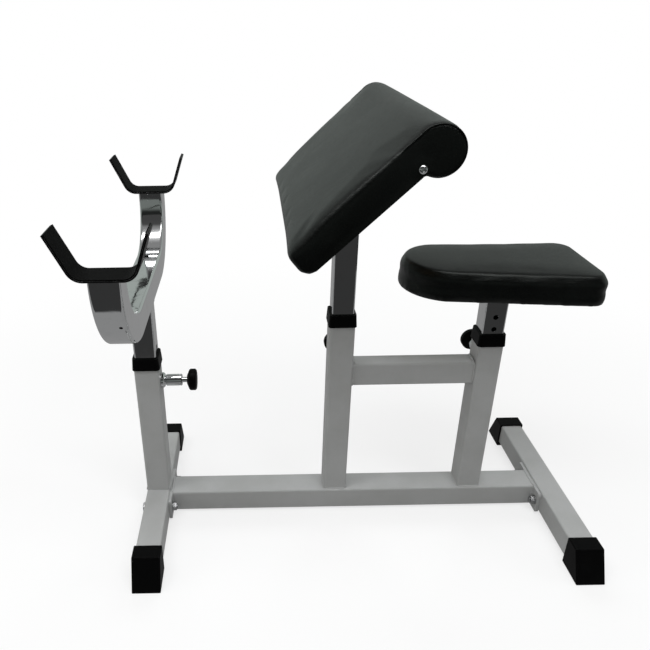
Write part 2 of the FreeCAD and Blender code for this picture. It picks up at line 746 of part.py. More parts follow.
def arm_nodes():
    """Arm post and the sloping, roll-topped arm pad on its plate."""
    lowest = arm_pin_height - arm_holes_down * hole_pitch - post_tail
    tall = arm_board_height + post_tube
    shaft = post(0, lowest, tall, arm_pin_height, arm_holes_down, arm_holes_up, Y_AXIS)
    plate, screws, washers, screw_holes = plate_and_screws(
        arm_plate_length, arm_plate_width, arm_plate_thickness
    )
    board_low = arm_board_margin + pad_low_round - pad_below
    board_width = pad_width - 2 * arm_board_margin
    board_length = arm_board_reach - board_low
    board = Part.makeBox(board_length, board_width, arm_board_thickness, V(board_low, -board_width / 2, 0))
    pocket = Part.makeBox(
        board_length + 2 * soft_clearance, board_width + 2 * soft_clearance,
        arm_board_thickness + 2 * soft_clearance,
        V(board_low - soft_clearance, -board_width / 2 - soft_clearance, -soft_clearance),
    )
    cushion = Part.makeLoft([
        arm_section(share * pad_width / 2, inset * pad_end_inset, crown * pad_crown)
        for share, inset, crown in pad_station_shares
    ], True, True).cut(pocket)
    side_holes = []
    side_screws = []
    for side in (-1, 1):
        side_screws.append(side_screw(side))
        start = V(side_screw_reach, side * (pad_width / 2 + overrun), arm_board_thickness / 2)
        depth = overrun + arm_board_margin + side_screw_grip + bolt_clearance
        hole = Part.makeCylinder(side_screw_radius + bolt_clearance, depth, start, Y_AXIS * -side)
        side_holes.append(hole)
    side_holes = Part.makeCompound(side_holes)
    return {
        "arm_post": shaft.cut(on_arm_post(mitre_block(arm_plate_thickness))),
        "arm_post_glide": glide(0, lowest),
        "arm_pad_plate": on_arm_post(plate),
        "arm_pad_screws": on_arm_post(screws),
        "arm_pad_washers": on_arm_post(washers),
        "arm_pad_board": on_arm_post(board.cut(screw_holes).cut(side_holes)),
        "arm_pad_cushion": on_arm_post(cushion.cut(side_holes)),
        "arm_pad_side_screws": on_arm_post(Part.makeCompound(side_screws)),
    }


def seat_outline(height, inset):
    """Plan of the seat at one height: square at the back, round towards the arm pad."""
    half_rear = seat_rear_width / 2 - inset
    half_front = seat_front_width / 2 - inset
    rear = seat_rear - inset
    tip = inset - seat_front
    round_start = seat_front_round - seat_front
    depth = round_start - tip
    radius = (half_front * half_front + depth * depth) / (2 * depth)
    opening = math.asin(half_front / radius)
    slant = seat_corner * (1 - math.sqrt(0.5))

    def on_front(share):
        angle = math.pi - share * opening
        return V(tip + radius + radius * math.cos(angle), radius * math.sin(angle), height)

    edges = []
    for side in (1, -1):
        side_rear = V(rear - seat_corner, side * half_rear, height)
        back = V(rear, side * (half_rear - seat_corner), height)
        knee = V(rear - slant, side * (half_rear - slant), height)
        edges.append(Part.Arc(on_front(0), on_front(side * 0.5), on_front(side)).toShape())
        edges.append(Part.LineSegment(on_front(side), side_rear).toShape())
        edges.append(Part.Arc(side_rear, knee, back).toShape())
    half_back = half_rear - seat_corner
    edges.append(Part.LineSegment(V(rear, half_back, height), V(rear, -half_back, height)).toShape())
    return Part.Wire(Part.__sortEdges__(edges))


def seat_nodes():
    """Seat post and the crowned seat pad on its plate."""
    lowest = seat_pin_height - seat_holes_down * hole_pitch - post_tail
    tall = seat_board_height + post_tube
    shaft = post(seat_offset, lowest, tall, seat_pin_height, seat_holes_down, seat_holes_up, Y_AXIS)
    plate, screws, washers, screw_holes = plate_and_screws(
        seat_plate_length, seat_plate_width, seat_plate_thickness
    )
    board = Part.Face(seat_outline(0, seat_board_margin)).extrude(V(0, 0, seat_board_thickness))
    pocket = Part.Face(seat_outline(-overrun, seat_board_margin - soft_clearance))
    pocket = pocket.extrude(V(0, 0, overrun + seat_board_thickness + soft_clearance))
    sections = [
        seat_outline(height * seat_thickness, inset * seat_edge_round) for height, inset in seat_side_shares
    ]
    sections += [
        seat_outline(seat_thickness + height * seat_crown, inset * seat_edge_round)
        for height, inset in seat_crown_shares
    ]
    cushion = Part.makeLoft(sections, True, True).cut(pocket)
    return {
        "seat_post": shaft.cut(on_seat_post(mitre_block(seat_plate_thickness))),
        "seat_post_glide": glide(seat_offset, lowest),
        "seat_plate": on_seat_post(plate),
        "seat_screws": on_seat_post(screws),
        "seat_washers": on_seat_post(washers),
        "seat_board": on_seat_post(board.cut(screw_holes)),
        "seat_cushion": on_seat_post(cushion),
    }


def bench_nodes():
    """Every node of the bench, by name."""
    nodes = {}
    nodes.update(feet_nodes())
    nodes.update(upright_nodes())
    nodes.update(rack_nodes())
    nodes.update(arm_nodes())
    nodes.update(seat_nodes())
    face = upright_tube / 2
    nodes.update(pin_nodes("rack", V(face - rack_offset, 0, rack_pin_height), X_AXIS))
    nodes.update(pin_nodes("arm", V(0, face, arm_pin_height), Y_AXIS))
    nodes.update(pin_nodes("seat", V(seat_offset, face, seat_pin_height), Y_AXIS))
    return nodes


os.makedirs("parts", exist_ok=True)
for node, shape in bench_nodes().items():
    shape.translated(V(-bench_middle, 0, 0)).exportStep(f"parts/{node}.step")
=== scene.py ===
"""Looks of a preacher curl bench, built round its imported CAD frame.

Metres, +Z up, +X from the bar rack towards the seat. The steel, chrome and plastic nodes keep their
shapes and get finishes; the two pads are swollen vinyl covers with sewn edges; weld beads, welts, hems,
staples and domed screws are added where the makers of such benches put them.
"""
import logging
import math
from dataclasses import dataclass
from enum import Enum
from typing import Callable, Iterable, Mapping, Sequence, Union

import bmesh
import bpy
import numpy as np
from mathutils import Matrix, Vector


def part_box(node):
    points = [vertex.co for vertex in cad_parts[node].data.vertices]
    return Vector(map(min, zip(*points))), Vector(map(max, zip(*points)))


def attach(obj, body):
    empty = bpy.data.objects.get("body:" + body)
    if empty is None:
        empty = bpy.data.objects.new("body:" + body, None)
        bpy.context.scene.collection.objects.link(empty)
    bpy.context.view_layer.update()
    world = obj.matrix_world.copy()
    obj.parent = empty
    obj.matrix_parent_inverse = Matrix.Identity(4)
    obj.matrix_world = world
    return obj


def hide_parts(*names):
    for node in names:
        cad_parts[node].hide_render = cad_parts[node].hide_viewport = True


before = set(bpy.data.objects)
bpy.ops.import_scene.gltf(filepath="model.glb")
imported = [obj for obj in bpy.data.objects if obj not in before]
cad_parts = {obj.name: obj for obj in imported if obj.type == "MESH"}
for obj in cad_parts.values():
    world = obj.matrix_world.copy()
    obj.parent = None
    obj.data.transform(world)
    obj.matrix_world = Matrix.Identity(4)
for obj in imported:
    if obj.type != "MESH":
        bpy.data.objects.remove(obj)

log = logging.getLogger("bench")

Key = Union[str, int]
Value = Union["Sock", float]
Span = tuple[float, float]
Triple = tuple[float, float, float]
Colour = Triple

# Says whether a smoothing pass takes a point
Chooser = Callable[[Vector], bool]

# Gives a value for each row of an array of points
Field = Callable[[np.ndarray], np.ndarray]

WHITE: Colour = (1.0, 1.0, 1.0)

# How fast the mask of sharp edges rises where a normal turns
EDGE_GAIN = 5.0

# How far from its board and its hem a pad's skin is still held
GRIP = 0.003

# How far inside the board's edge the tucked rim begins
RIM_SLACK = 0.001

# Height above a board from which the skin is smoothed
FREE_RISE = 0.004


class Body(Enum):
    """The bodies of the bench that pieces ride on."""

    FRAME = "frame"
    RACK = "rack"
    ARM_REST = "arm_rest"
    SEAT = "seat"


class Slot(Enum):
    """The record's material slots that new pieces take their finish from."""

    FRAME_PAINT = "frame_paint"
    CHROME = "chrome"
    ZINC = "zinc_steel"
    BLACK_PAINT = "black_paint"
    PLASTIC = "black_plastic"
    RUBBER = "hook_rubber"
    VINYL = "pad_vinyl"
    BOARD = "board"


class Axis(Enum):
    """Directions of the shared frame."""

    X = Vector((1.0, 0.0, 0.0))
    Y = Vector((0.0, 1.0, 0.0))
    Z = Vector((0.0, 0.0, 1.0))


class Side(Enum):
    """Sides of a rectangle: which of its two axes they stand across, and whether at its high end."""

    FIRST_LOW = (0, False)
    FIRST_HIGH = (0, True)
    SECOND_LOW = (1, False)
    SECOND_HIGH = (1, True)


class Cell(Enum):
    """Kinds of cell pattern."""

    DOTS = "F1"
    CRACKS = "DISTANCE_TO_EDGE"


class Rows(Enum):
    """What is read from a mesh's vertices."""

    POINTS = "co"
    NORMALS = "normal"


# Shader maths


class Sock:
    """A shader socket that takes part in Python sums."""

    def __init__(self, shade: "Shade", socket: bpy.types.NodeSocket) -> None:
        """Wraps one output socket of a material's node tree."""
        self.shade = shade
        self.socket = socket

    def math(self, operation: str, other: Value, clamp: bool = False) -> "Sock":
        """A Math node with this socket first and another value second."""
        settings = {"operation": operation, "use_clamp": clamp}
        return self.shade.node("ShaderNodeMath", settings, {0: self, 1: other})

    def __add__(self, other: Value) -> "Sock":
        """This socket plus another value."""
        return self.math("ADD", other)

    def __sub__(self, other: Value) -> "Sock":
        """This socket less another value."""
        return self.math("SUBTRACT", other)

    def __rsub__(self, other: float) -> "Sock":
        """A number less this socket."""
        return self.shade.node("ShaderNodeMath", {"operation": "SUBTRACT"}, {0: other, 1: self})

    def __mul__(self, other: Value) -> "Sock":
        """This socket times another value."""
        return self.math("MULTIPLY", other)

    __radd__ = __add__
    __rmul__ = __mul__

    def clamp(self) -> "Sock":
        """This socket held between 0 and 1."""
        return self.math("ADD", 0.0, clamp=True)

    def step(self, low: float, high: float) -> "Sock":
        """A smooth rise from 0 to 1, or a fall from 1 to 0 where low is above high.

        Args:
            low: The value at which the rise begins, or the fall is over.
            high: The value at which the rise is over, or the fall begins.

        Returns:
            The rise or fall.
        """
        if low > high:
            return 1 - self.step(high, low)
        sockets = {"Value": self, "From Min": low, "From Max": high}
        return self.shade.node("ShaderNodeMapRange", {"interpolation_type": "SMOOTHSTEP"}, sockets)


class Shade:
    """One material's node tree, and the few node groups that the finishes share."""

    def __init__(self, tree: bpy.types.NodeTree) -> None:
        """Empties a node tree and holds it."""
        self.tree = tree
        tree.nodes.clear()

    def node(
        self, kind: str, settings: Mapping[str, object] | None = None,
        sockets: Mapping[Key, object] | None = None, out: Key = 0,
    ) -> Sock:
        """Adds a node.

        Args:
            kind: The node's type.
            settings: Its own settings, set first.
            sockets: Values or links of its input sockets, by name or place.
            out: The output that is wanted, by name or place.

        Returns:
            That output.
        """
        made = self.tree.nodes.new(kind)
        for key, value in (settings or {}).items():
            setattr(made, key, value)
        for key, value in (sockets or {}).items():
            target = made.inputs[key]
            if isinstance(value, Sock):
                self.tree.links.new(value.socket, target)
            else:
                target.default_value = value
        return Sock(self, made.outputs[out] if made.outputs else None)

    def vector(self, operation: str, sockets: Mapping[Key, object], out: Key = 0) -> Sock:
        """A Vector Math node."""
        return self.node("ShaderNodeVectorMath", {"operation": operation}, sockets, out)

    def place(self, stretch: Triple | None = None) -> Sock:
        """Object coordinates, times a stretch along each axis where one is given."""
        here = self.node("ShaderNodeTexCoord", out="Object")
        return self.vector("MULTIPLY", {0: here, 1: stretch}) if stretch else here

    def part(self, vector: Sock, axis: Axis) -> Sock:
        """One coordinate of a vector."""
        return self.node("ShaderNodeSeparateXYZ", None, {0: vector}, axis.name)

    def noise(self, where: Sock, size: float, detail: float = 2.0, rough: float = 0.5) -> Sock:
        """Noise whose features are about that size in metres, around 0.5."""
        sockets = {"Vector": where, "Scale": 1.0 / size, "Detail": detail, "Roughness": rough}
        return self.node("ShaderNodeTexNoise", None, sockets)

    def cells(self, where: Sock, size: float, cell: Cell) -> Sock:
        """Cell pattern of that size in metres."""
        sockets = {"Vector": where, "Scale": 1.0 / size}
        return self.node("ShaderNodeTexVoronoi", {"feature": cell.value}, sockets, "Distance")

    def warped(self, where: Sock, size: float, reach: float) -> Sock:
        """Coordinates pushed about by noise.

        Args:
            where: The coordinates.
            size: Feature size of the noise in metres.
            reach: How far it pushes, in metres.

        Returns:
            The pushed coordinates.
        """
        push = self.node("ShaderNodeTexNoise", None, {"Vector": where, "Scale": 1.0 / size}, "Color")
        push = self.vector("SUBTRACT", {0: push, 1: (0.5, 0.5, 0.5)})
        push = self.vector("SCALE", {0: push, "Scale": 2 * reach})
        return self.vector("ADD", {0: where, 1: push})

    def mix(self, share: Sock, first: Union[Sock, Colour], second: Colour) -> Sock:
        """Colour between two colours.

        Args:
            share: Share of the second colour.
            first: The first colour, or a socket that gives it.
            second: The second colour.

        Returns:
            The mixed colour.
        """
        start = first if isinstance(first, Sock) else (*first, 1.0)
        return self.node("ShaderNodeMix", {"data_type": "RGBA"}, {0: share, 6: start, 7: (*second, 1.0)}, 2)

    def soft_normal(self, radius: float) -> Sock:
        """Normal that rounds sharp edges by a radius in metres."""
        return self.node("ShaderNodeBevel", {"samples": 6}, {"Radius": radius})

    def edges(self, radius: float) -> Sock:
        """A mask of sharp edges and corners.

        Args:
            radius: How far from an edge it reaches, in metres.

        Returns:
            1 along edges and 0 on faces.
        """
        normal = self.node("ShaderNodeNewGeometry", out="Normal")
        flat = self.vector("DOT_PRODUCT", {0: self.soft_normal(radius), 1: normal}, "Value")
        return ((1 - flat) * EDGE_GAIN).clamp()

    def bump(self, height: Sock, depth: float, strength: float = 1.0, normal: Sock | None = None) -> Sock:
        """Normal of a relief.

        Args:
            height: The relief, from 0 to 1.
            depth: How deep that is, in metres.
            strength: Share of the relief's effect.
            normal: The normal it starts from.

        Returns:
            The normal socket.
        """
        sockets: dict[Key, object] = {"Height": height, "Distance": depth, "Strength": strength}
        if normal is not None:
            sockets["Normal"] = normal
        return self.node("ShaderNodeBump", None, sockets)

    def surface(self, sockets: Mapping[Key, object]) -> None:
        """Ends the tree in a Principled shader with these socket values."""
        shader = self.node("ShaderNodeBsdfPrincipled", None, sockets)
        self.node("ShaderNodeOutputMaterial", None, {"Surface": shader})


def new_material(name: str) -> tuple[bpy.types.Material, Shade]:
    """A new material with an empty node tree.

    Args:
        name: The material's name.

    Returns:
        The material and its tree.
    """
    made = bpy.data.materials.new(name)
    made.use_nodes = True
    return made, Shade(made.node_tree)


# Finishes


class Finish:
    """A finish that is made into one material and shared by the pieces that carry it."""

    title = "finish"

    def dress(self, shade: Shade) -> None:
        """Writes the finish into a material's node tree."""
        raise NotImplementedError

    def material(self) -> bpy.types.Material:
        """The finish's material, made once.

        Returns:
            The material.
        """
        made = bpy.data.materials.get(self.title)
        if made is None:
            made, shade = new_material(self.title)
            self.dress(shade)
        return made


@dataclass(frozen=True)
class FramePaint(Finish):
    """Silver-grey satin powder paint on the welded frame."""

    title = "silver_frame_paint"
    colour: Colour = (0.405, 0.41, 0.408)
    dusty: Colour = (0.335, 0.338, 0.33)
    worn: Colour = (0.56, 0.565, 0.57)
    cloud: float = 0.09
    speck: float = 0.0007
    peel: float = 0.0016
    relief: float = 0.00006
    edge: float = 0.0016
    rounding: float = 0.0012
    roughness: float = 0.42

    def dress(self, shade: Shade) -> None:
        """Orange-peel relief, faint clouding and brighter rubbed edges.

        Args:
            shade: The material's node tree.
        """
        here = shade.place()
        clouds = shade.noise(here, self.cloud, 4.0, 0.6)
        specks = shade.noise(here, self.speck, 1.0)
        peel = shade.noise(here, self.peel, 2.0, 0.4)
        edge = shade.edges(self.edge)
        tone = shade.mix((clouds.step(0.35, 0.7) * 0.5).clamp(), self.colour, self.dusty)
        tone = shade.mix(specks.step(0.62, 0.75) * 0.25, tone, self.worn)
        tone = shade.mix(edge * clouds.step(0.4, 0.65) * 0.6, tone, self.worn)
        rough = self.roughness + (clouds - 0.5) * 0.16 + (peel - 0.5) * 0.08
        normal = shade.bump(peel, self.relief, 0.5, shade.soft_normal(self.rounding))
        shade.surface({"Base Color": tone, "Roughness": rough, "Metallic": 0.0, "Normal": normal})


@dataclass(frozen=True)
class Chrome(Finish):
    """Bright chrome plate with faint ripples, smears and polishing lines."""

    title = "bright_chrome"
    colour: Colour = (0.72, 0.73, 0.735)
    dim: Colour = (0.55, 0.56, 0.56)
    ripple: float = 0.05
    relief: float = 0.001
    smear: float = 0.022
    line: float = 0.0011
    line_stretch: Triple = (1.0, 1.0, 0.06)
    pit: float = 0.009
    roughness: float = 0.055

    def dress(self, shade: Shade) -> None:
        """Long ripples of the tube under the plate, smears, fine lines and pits.

        Args:
            shade: The material's node tree.
        """
        here = shade.place()
        ripple = shade.noise(here, self.ripple, 2.0)
        smear = shade.noise(shade.warped(here, 0.03, 0.01), self.smear, 5.0, 0.65)
        lines = shade.noise(shade.place(self.line_stretch), self.line, 2.0)
        pits = shade.cells(here, self.pit, Cell.DOTS).step(0.05, 0.02)
        tone = shade.mix((smear.step(0.5, 0.8) * 0.5 + pits * 0.4).clamp(), self.colour, self.dim)
        rough = self.roughness + smear.step(0.45, 0.85) * 0.1 + lines.step(0.5, 0.8) * 0.03 + pits * 0.1
        normal = shade.bump(ripple, self.relief, 0.4)
        shade.surface({"Base Color": tone, "Roughness": rough, "Metallic": 1.0, "Normal": normal})


@dataclass(frozen=True)
class ZincSteel(Finish):
    """Zinc-plated fasteners and springs."""

    title = "zinc_plate"
    colour: Colour = (0.45, 0.455, 0.465)
    dull: Colour = (0.27, 0.275, 0.272)
    bright: Colour = (0.68, 0.68, 0.69)
    blotch: float = 0.005
    line: float = 0.002
    line_stretch: Triple = (1.0, 6.0, 6.0)
    relief: float = 0.00004
    edge: float = 0.0009
    rounding: float = 0.0007
    roughness: float = 0.27

    def dress(self, shade: Shade) -> None:
        """Blotched plate, rolled lines and bright corners.

        Args:
            shade: The material's node tree.
        """
        here = shade.place()
        blotch = shade.noise(shade.warped(here, 0.006, 0.003), self.blotch, 4.0, 0.6)
        lines = shade.noise(shade.place(self.line_stretch), self.line, 2.0)
        edge = shade.edges(self.edge)
        tone = shade.mix(blotch.step(0.4, 0.7), self.colour, self.dull)
        tone = shade.mix(edge * 0.6, tone, self.bright)
        rough = self.roughness + blotch.step(0.35, 0.75) * 0.2 - edge * 0.08
        normal = shade.bump(lines, self.relief, 0.5, shade.soft_normal(self.rounding))
        shade.surface({"Base Color": tone, "Roughness": rough, "Metallic": 1.0, "Normal": normal})


@dataclass(frozen=True)
class BlackPaint(Finish):
    """Black powder paint on the hooks and pad plates, rubbed grey at its edges."""

    title = "black_powder_paint"
    colour: Colour = (0.0022, 0.0022, 0.0023)
    rubbed: Colour = (0.16, 0.16, 0.165)
    peel: float = 0.0013
    relief: float = 0.00007
    scuff: float = 0.012
    edge: float = 0.001
    rounding: float = 0.0008
    roughness: float = 0.46
    gloss: float = 0.25

    def dress(self, shade: Shade) -> None:
        """Fine peel, scuffs and bare edges.

        Args:
            shade: The material's node tree.
        """
        here = shade.place()
        peel = shade.noise(here, self.peel, 2.0)
        scuff = shade.noise(shade.warped(here, 0.02, 0.006), self.scuff, 5.0, 0.7)
        bare = (shade.edges(self.edge) * scuff.step(0.38, 0.6)).clamp()
        tone = shade.mix((bare * 0.75).clamp(), self.colour, self.rubbed)
        rough = self.roughness + (scuff - 0.5) * 0.2 - bare * 0.1
        normal = shade.bump(peel, self.relief, 0.6, shade.soft_normal(self.rounding))
        shade.surface({
            "Base Color": tone, "Roughness": rough, "Metallic": bare * 0.5, "Normal": normal,
            "Specular IOR Level": self.gloss,
        })


@dataclass(frozen=True)
class MouldedPlastic(Finish):
    """Black moulded plastic of caps, collars, glides and knobs."""

    title = "black_moulded_plastic"
    colour: Colour = (0.0009, 0.0009, 0.001)
    dusty: Colour = (0.0045, 0.0047, 0.0047)
    grain: float = 0.0009
    relief: float = 0.00009
    dust: float = 0.03
    edge: float = 0.0014
    rounding: float = 0.001
    roughness: float = 0.5
    gloss: float = 0.08

    def dress(self, shade: Shade) -> None:
        """Spark-eroded grain, dust on broad faces and shiny corners.

        Args:
            shade: The material's node tree.
        """
        here = shade.place()
        grain = shade.cells(shade.warped(here, 0.001, 0.0004), self.grain, Cell.DOTS)
        dust = shade.noise(here, self.dust, 5.0, 0.65)
        edge = shade.edges(self.edge)
        tone = shade.mix(dust.step(0.5, 0.8) * 0.35 + edge * 0.2, self.colour, self.dusty)
        rough = self.roughness + (dust - 0.5) * 0.2 - edge * 0.12
        normal = shade.bump(grain, self.relief, 0.5, shade.soft_normal(self.rounding))
        shade.surface({
            "Base Color": tone, "Roughness": rough, "Normal": normal, "Specular IOR Level": self.gloss,
        })


@dataclass(frozen=True)
class HookRubber(Finish):
    """Black rubber sheet that lines the hooks."""

    title = "black_hook_rubber"
    colour: Colour = (0.0012, 0.0012, 0.0012)
    scuffed: Colour = (0.0055, 0.0055, 0.0054)
    press: float = 0.0012
    relief: float = 0.00012
    scuff: float = 0.012
    scuff_stretch: Triple = (0.5, 4.0, 0.5)
    edge: float = 0.0009
    rounding: float = 0.0006
    roughness: float = 0.62
    gloss: float = 0.06

    def dress(self, shade: Shade) -> None:
        """Fine cloth-like pressing and grey scuffs across the bar's seat.

        Args:
            shade: The material's node tree.
        """
        press = shade.cells(shade.place(), self.press, Cell.DOTS)
        scuff = shade.noise(shade.place(self.scuff_stretch), self.scuff, 5.0, 0.7)
        edge = shade.edges(self.edge)
        tone = shade.mix((scuff.step(0.55, 0.8) * 0.5 + edge * 0.35).clamp(), self.colour, self.scuffed)
        rough = self.roughness + (scuff - 0.5) * 0.25
        normal = shade.bump(press, self.relief, 0.5, shade.soft_normal(self.rounding))
        shade.surface({
            "Base Color": tone, "Roughness": rough, "Normal": normal, "Specular IOR Level": self.gloss,
        })


@dataclass(frozen=True)
class PadVinyl(Finish):
    """Black grained vinyl over foam."""

    title = "black_pad_vinyl"
    colour: Colour = (0.0009, 0.001, 0.0009)
    faded: Colour = (0.004, 0.0045, 0.0043)
    sheen: Colour = (0.93, 1.0, 0.955)
    grain: float = 0.0013
    pore: float = 0.0005
    relief: float = 0.0001
    wave: float = 0.05
    wave_stretch: Triple = (1.0, 0.6, 1.0)
    wave_relief: float = 0.0012
    rub: float = 0.11
    roughness: float = 0.27
    gloss: float = 0.32

    def dress(self, shade: Shade) -> None:
        """Pebbled grain, slack waves in the cover and patches rubbed smoother.

        Args:
            shade: The material's node tree.
        """
        here = shade.place()
        pebbles = shade.cells(shade.warped(here, 0.002, 0.0007), self.grain, Cell.CRACKS).step(0.0, 0.28)
        pores = shade.noise(here, self.pore, 1.0)
        waves = shade.noise(shade.place(self.wave_stretch), self.wave, 3.0, 0.5)
        rub = shade.noise(here, self.rub, 4.0, 0.6)
        fade = (rub.step(0.4, 0.75) * 0.55 + (1 - pebbles) * 0.15).clamp()
        tone = shade.mix(fade, self.colour, self.faded)
        rough = self.roughness + (rub - 0.5) * 0.14 + (1 - pebbles) * 0.1 + (pores - 0.5) * 0.05
        slack = shade.bump(waves, self.wave_relief, 0.35)
        normal = shade.bump(pebbles * 0.8 + pores * 0.2, self.relief, 0.5, slack)
        shade.surface({
            "Base Color": tone, "Roughness": rough, "Normal": normal, "Specular IOR Level": self.gloss,
            "Specular Tint": (*self.sheen, 1.0),
        })


@dataclass(frozen=True)
class PlyBoard(Finish):
    """Plywood of the pad boards: long grain on its faces and plies along its edges."""

    title = "pad_plywood"
    light: Colour = (0.52, 0.36, 0.2)
    dark: Colour = (0.33, 0.2, 0.1)
    ring: float = 0.0045
    ring_stretch: Triple = (1.0, 0.07, 1.0)
    pore: float = 0.0008
    pore_stretch: Triple = (1.0, 0.04, 1.0)
    relief: float = 0.0002
    rounding: float = 0.0008
    roughness: float = 0.62

    def dress(self, shade: Shade) -> None:
        """Stretched grain rings and pores.

        Args:
            shade: The material's node tree.
        """
        here = shade.place(self.ring_stretch)
        rings = shade.noise(shade.warped(here, 0.05, 0.004), self.ring, 4.0, 0.6)
        pores = shade.noise(shade.place(self.pore_stretch), self.pore, 2.0)
        tone = shade.mix(rings.step(0.35, 0.68), self.light, self.dark)
        tone = shade.mix(pores.step(0.58, 0.7) * 0.5, tone, self.dark)
        rough = self.roughness + (rings - 0.5) * 0.2
        normal = shade.bump(rings * 0.6 + pores * 0.4, self.relief, 0.6, shade.soft_normal(self.rounding))
        shade.surface({"Base Color": tone, "Roughness": rough, "Normal": normal})


FINISHES: dict[Slot, Finish] = {
    Slot.FRAME_PAINT: FramePaint(),
    Slot.CHROME: Chrome(),
    Slot.ZINC: ZincSteel(),
    Slot.BLACK_PAINT: BlackPaint(),
    Slot.PLASTIC: MouldedPlastic(),
    Slot.RUBBER: HookRubber(),
    Slot.VINYL: PadVinyl(),
    Slot.BOARD: PlyBoard(),
}


# Modelling helpers


def only(items: Iterable[object], kind: type) -> list:
    """The items of one kind, such as the vertices of an operator's result."""
    return [item for item in items if isinstance(item, kind)]


def mesh_from(name: str, shape: bmesh.types.BMesh) -> bpy.types.Mesh:
    """A mesh made of a bmesh, which is freed.

    Args:
        name: The mesh's name.
        shape: The bmesh.

    Returns:
        The mesh.
    """
    mesh = bpy.data.meshes.new(name)
    shape.to_mesh(mesh)
    shape.free()
    return mesh


def link(name: str, data: bpy.types.ID) -> bpy.types.Object:
    """A new object in the scene.

    Args:
        name: The object's name.
        data: The mesh, lamp or camera that it shows.

    Returns:
        The object.
    """
    made = bpy.data.objects.new(name, data)
    bpy.context.scene.collection.objects.link(made)
    return made


def settle(name: str, shape: bmesh.types.BMesh, body: Body, slot: Slot) -> bpy.types.Object:
    """Makes a bmesh a finished piece that rides on a body.

    Args:
        name: The piece's name.
        shape: The mesh, already in its place; it is freed here.
        body: The body that carries it.
        slot: The record's slot whose finish it takes.

    Returns:
        The new object.
    """
    bmesh.ops.recalc_face_normals(shape, faces=shape.faces)
    mesh = mesh_from(name, shape)
    mesh.shade_smooth()
    mesh.materials.append(FINISHES[slot].material())
    piece = link(name, mesh)
    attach(piece, body.value)
    log.info("piece %s on %s: %d faces", name, body.value, len(mesh.polygons))
    return piece


def coat(nodes: Iterable[str], slot: Slot) -> None:
    """Gives CAD nodes a finish in place of their plain one.

    Args:
        nodes: Names of the nodes.
        slot: The slot whose finish they get.
    """
    for name in nodes:
        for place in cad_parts[name].material_slots:
            place.material = FINISHES[slot].material()
        log.info("node %s: %s", name, slot.value)


def points_of(mesh: bpy.types.Mesh, rows: Rows = Rows.POINTS) -> np.ndarray:
    """A mesh's points or normals.

    Args:
        mesh: The mesh.
        rows: What is read.

    Returns:
        A row of three numbers for each vertex.
    """
    flat = np.zeros(len(mesh.vertices) * 3, np.float32)
    mesh.vertices.foreach_get(rows.value, flat)
    return flat.reshape(-1, 3)


def move_points(mesh: bpy.types.Mesh, points: np.ndarray) -> None:
    """Puts a mesh's vertices at points."""
    mesh.vertices.foreach_set("co", points.astype(np.float32).ravel())
    mesh.update()


class Sweep:
    """A round section drawn along runs and turns, one operator at a time."""

    def __init__(self, radius: float, start: Vector, heading: Vector, sides: int) -> None:
        """Starts a new mesh with a ring square to the heading.

        Args:
            radius: The section's radius.
            start: Middle of the first ring.
            heading: Direction of the first run.
            sides: Corners of the section.
        """
        self.shape = bmesh.new()
        turn = heading.to_track_quat("Z", "X").to_matrix().to_4x4()
        made = bmesh.ops.create_circle(
            self.shape, segments=sides, radius=radius, matrix=Matrix.Translation(start) @ turn
        )
        self.ring: list[bmesh.types.BMVert] = made["verts"]
        self.rim: list[bmesh.types.BMEdge] = list(self.shape.edges)

    def middle(self) -> Vector:
        """Middle of the last ring."""
        return sum((vert.co for vert in self.ring), Vector()) / len(self.ring)

    def run(self, step: Vector, swell: float = 1.0) -> "Sweep":
        """Draws the section along a straight step.

        Args:
            step: How far, and which way.
            swell: How much larger the section is at its end.

        Returns:
            This sweep, for the next run.
        """
        made = bmesh.ops.extrude_edge_only(self.shape, edges=self.rim)["geom"]
        self.ring = only(made, bmesh.types.BMVert)
        ends = set(self.ring)
        self.rim = [edge for edge in only(made, bmesh.types.BMEdge) if set(edge.verts) <= ends]
        bmesh.ops.translate(self.shape, verts=self.ring, vec=step)
        if swell != 1.0:
            here = Matrix.Translation(-self.middle())
            bmesh.ops.scale(self.shape, verts=self.ring, vec=(swell,) * 3, space=here)
        return self

    def turn(self, centre: Vector, axis: Axis, degrees: float, steps: int) -> None:
        """Draws the section round an axis.

        Args:
            centre: A point on the axis.
            axis: The axis' direction.
            degrees: How far it turns.
            steps: Number of steps.
        """
        made = bmesh.ops.spin(
            self.shape, geom=self.ring + self.rim, cent=centre, axis=axis.value,
            angle=math.radians(degrees), steps=steps, use_merge=False,
        )["geom_last"]
        self.ring = only(made, bmesh.types.BMVert)
        self.rim = only(made, bmesh.types.BMEdge)

    def closed(self) -> bmesh.types.BMesh:
        """The finished mesh, with its ends capped."""
        bmesh.ops.holes_fill(self.shape, edges=self.shape.edges, sides=0)
        return self.shape


def join(shapes: Sequence[bmesh.types.BMesh]) -> bmesh.types.BMesh:
    """One bmesh that holds several, which are freed.

    Args:
        shapes: The bmeshes.

    Returns:
        The new bmesh.
    """
    whole = bmesh.new()
    for shape in shapes:
        part = mesh_from("part", shape)
        whole.from_mesh(part)
        bpy.data.meshes.remove(part)
    return whole


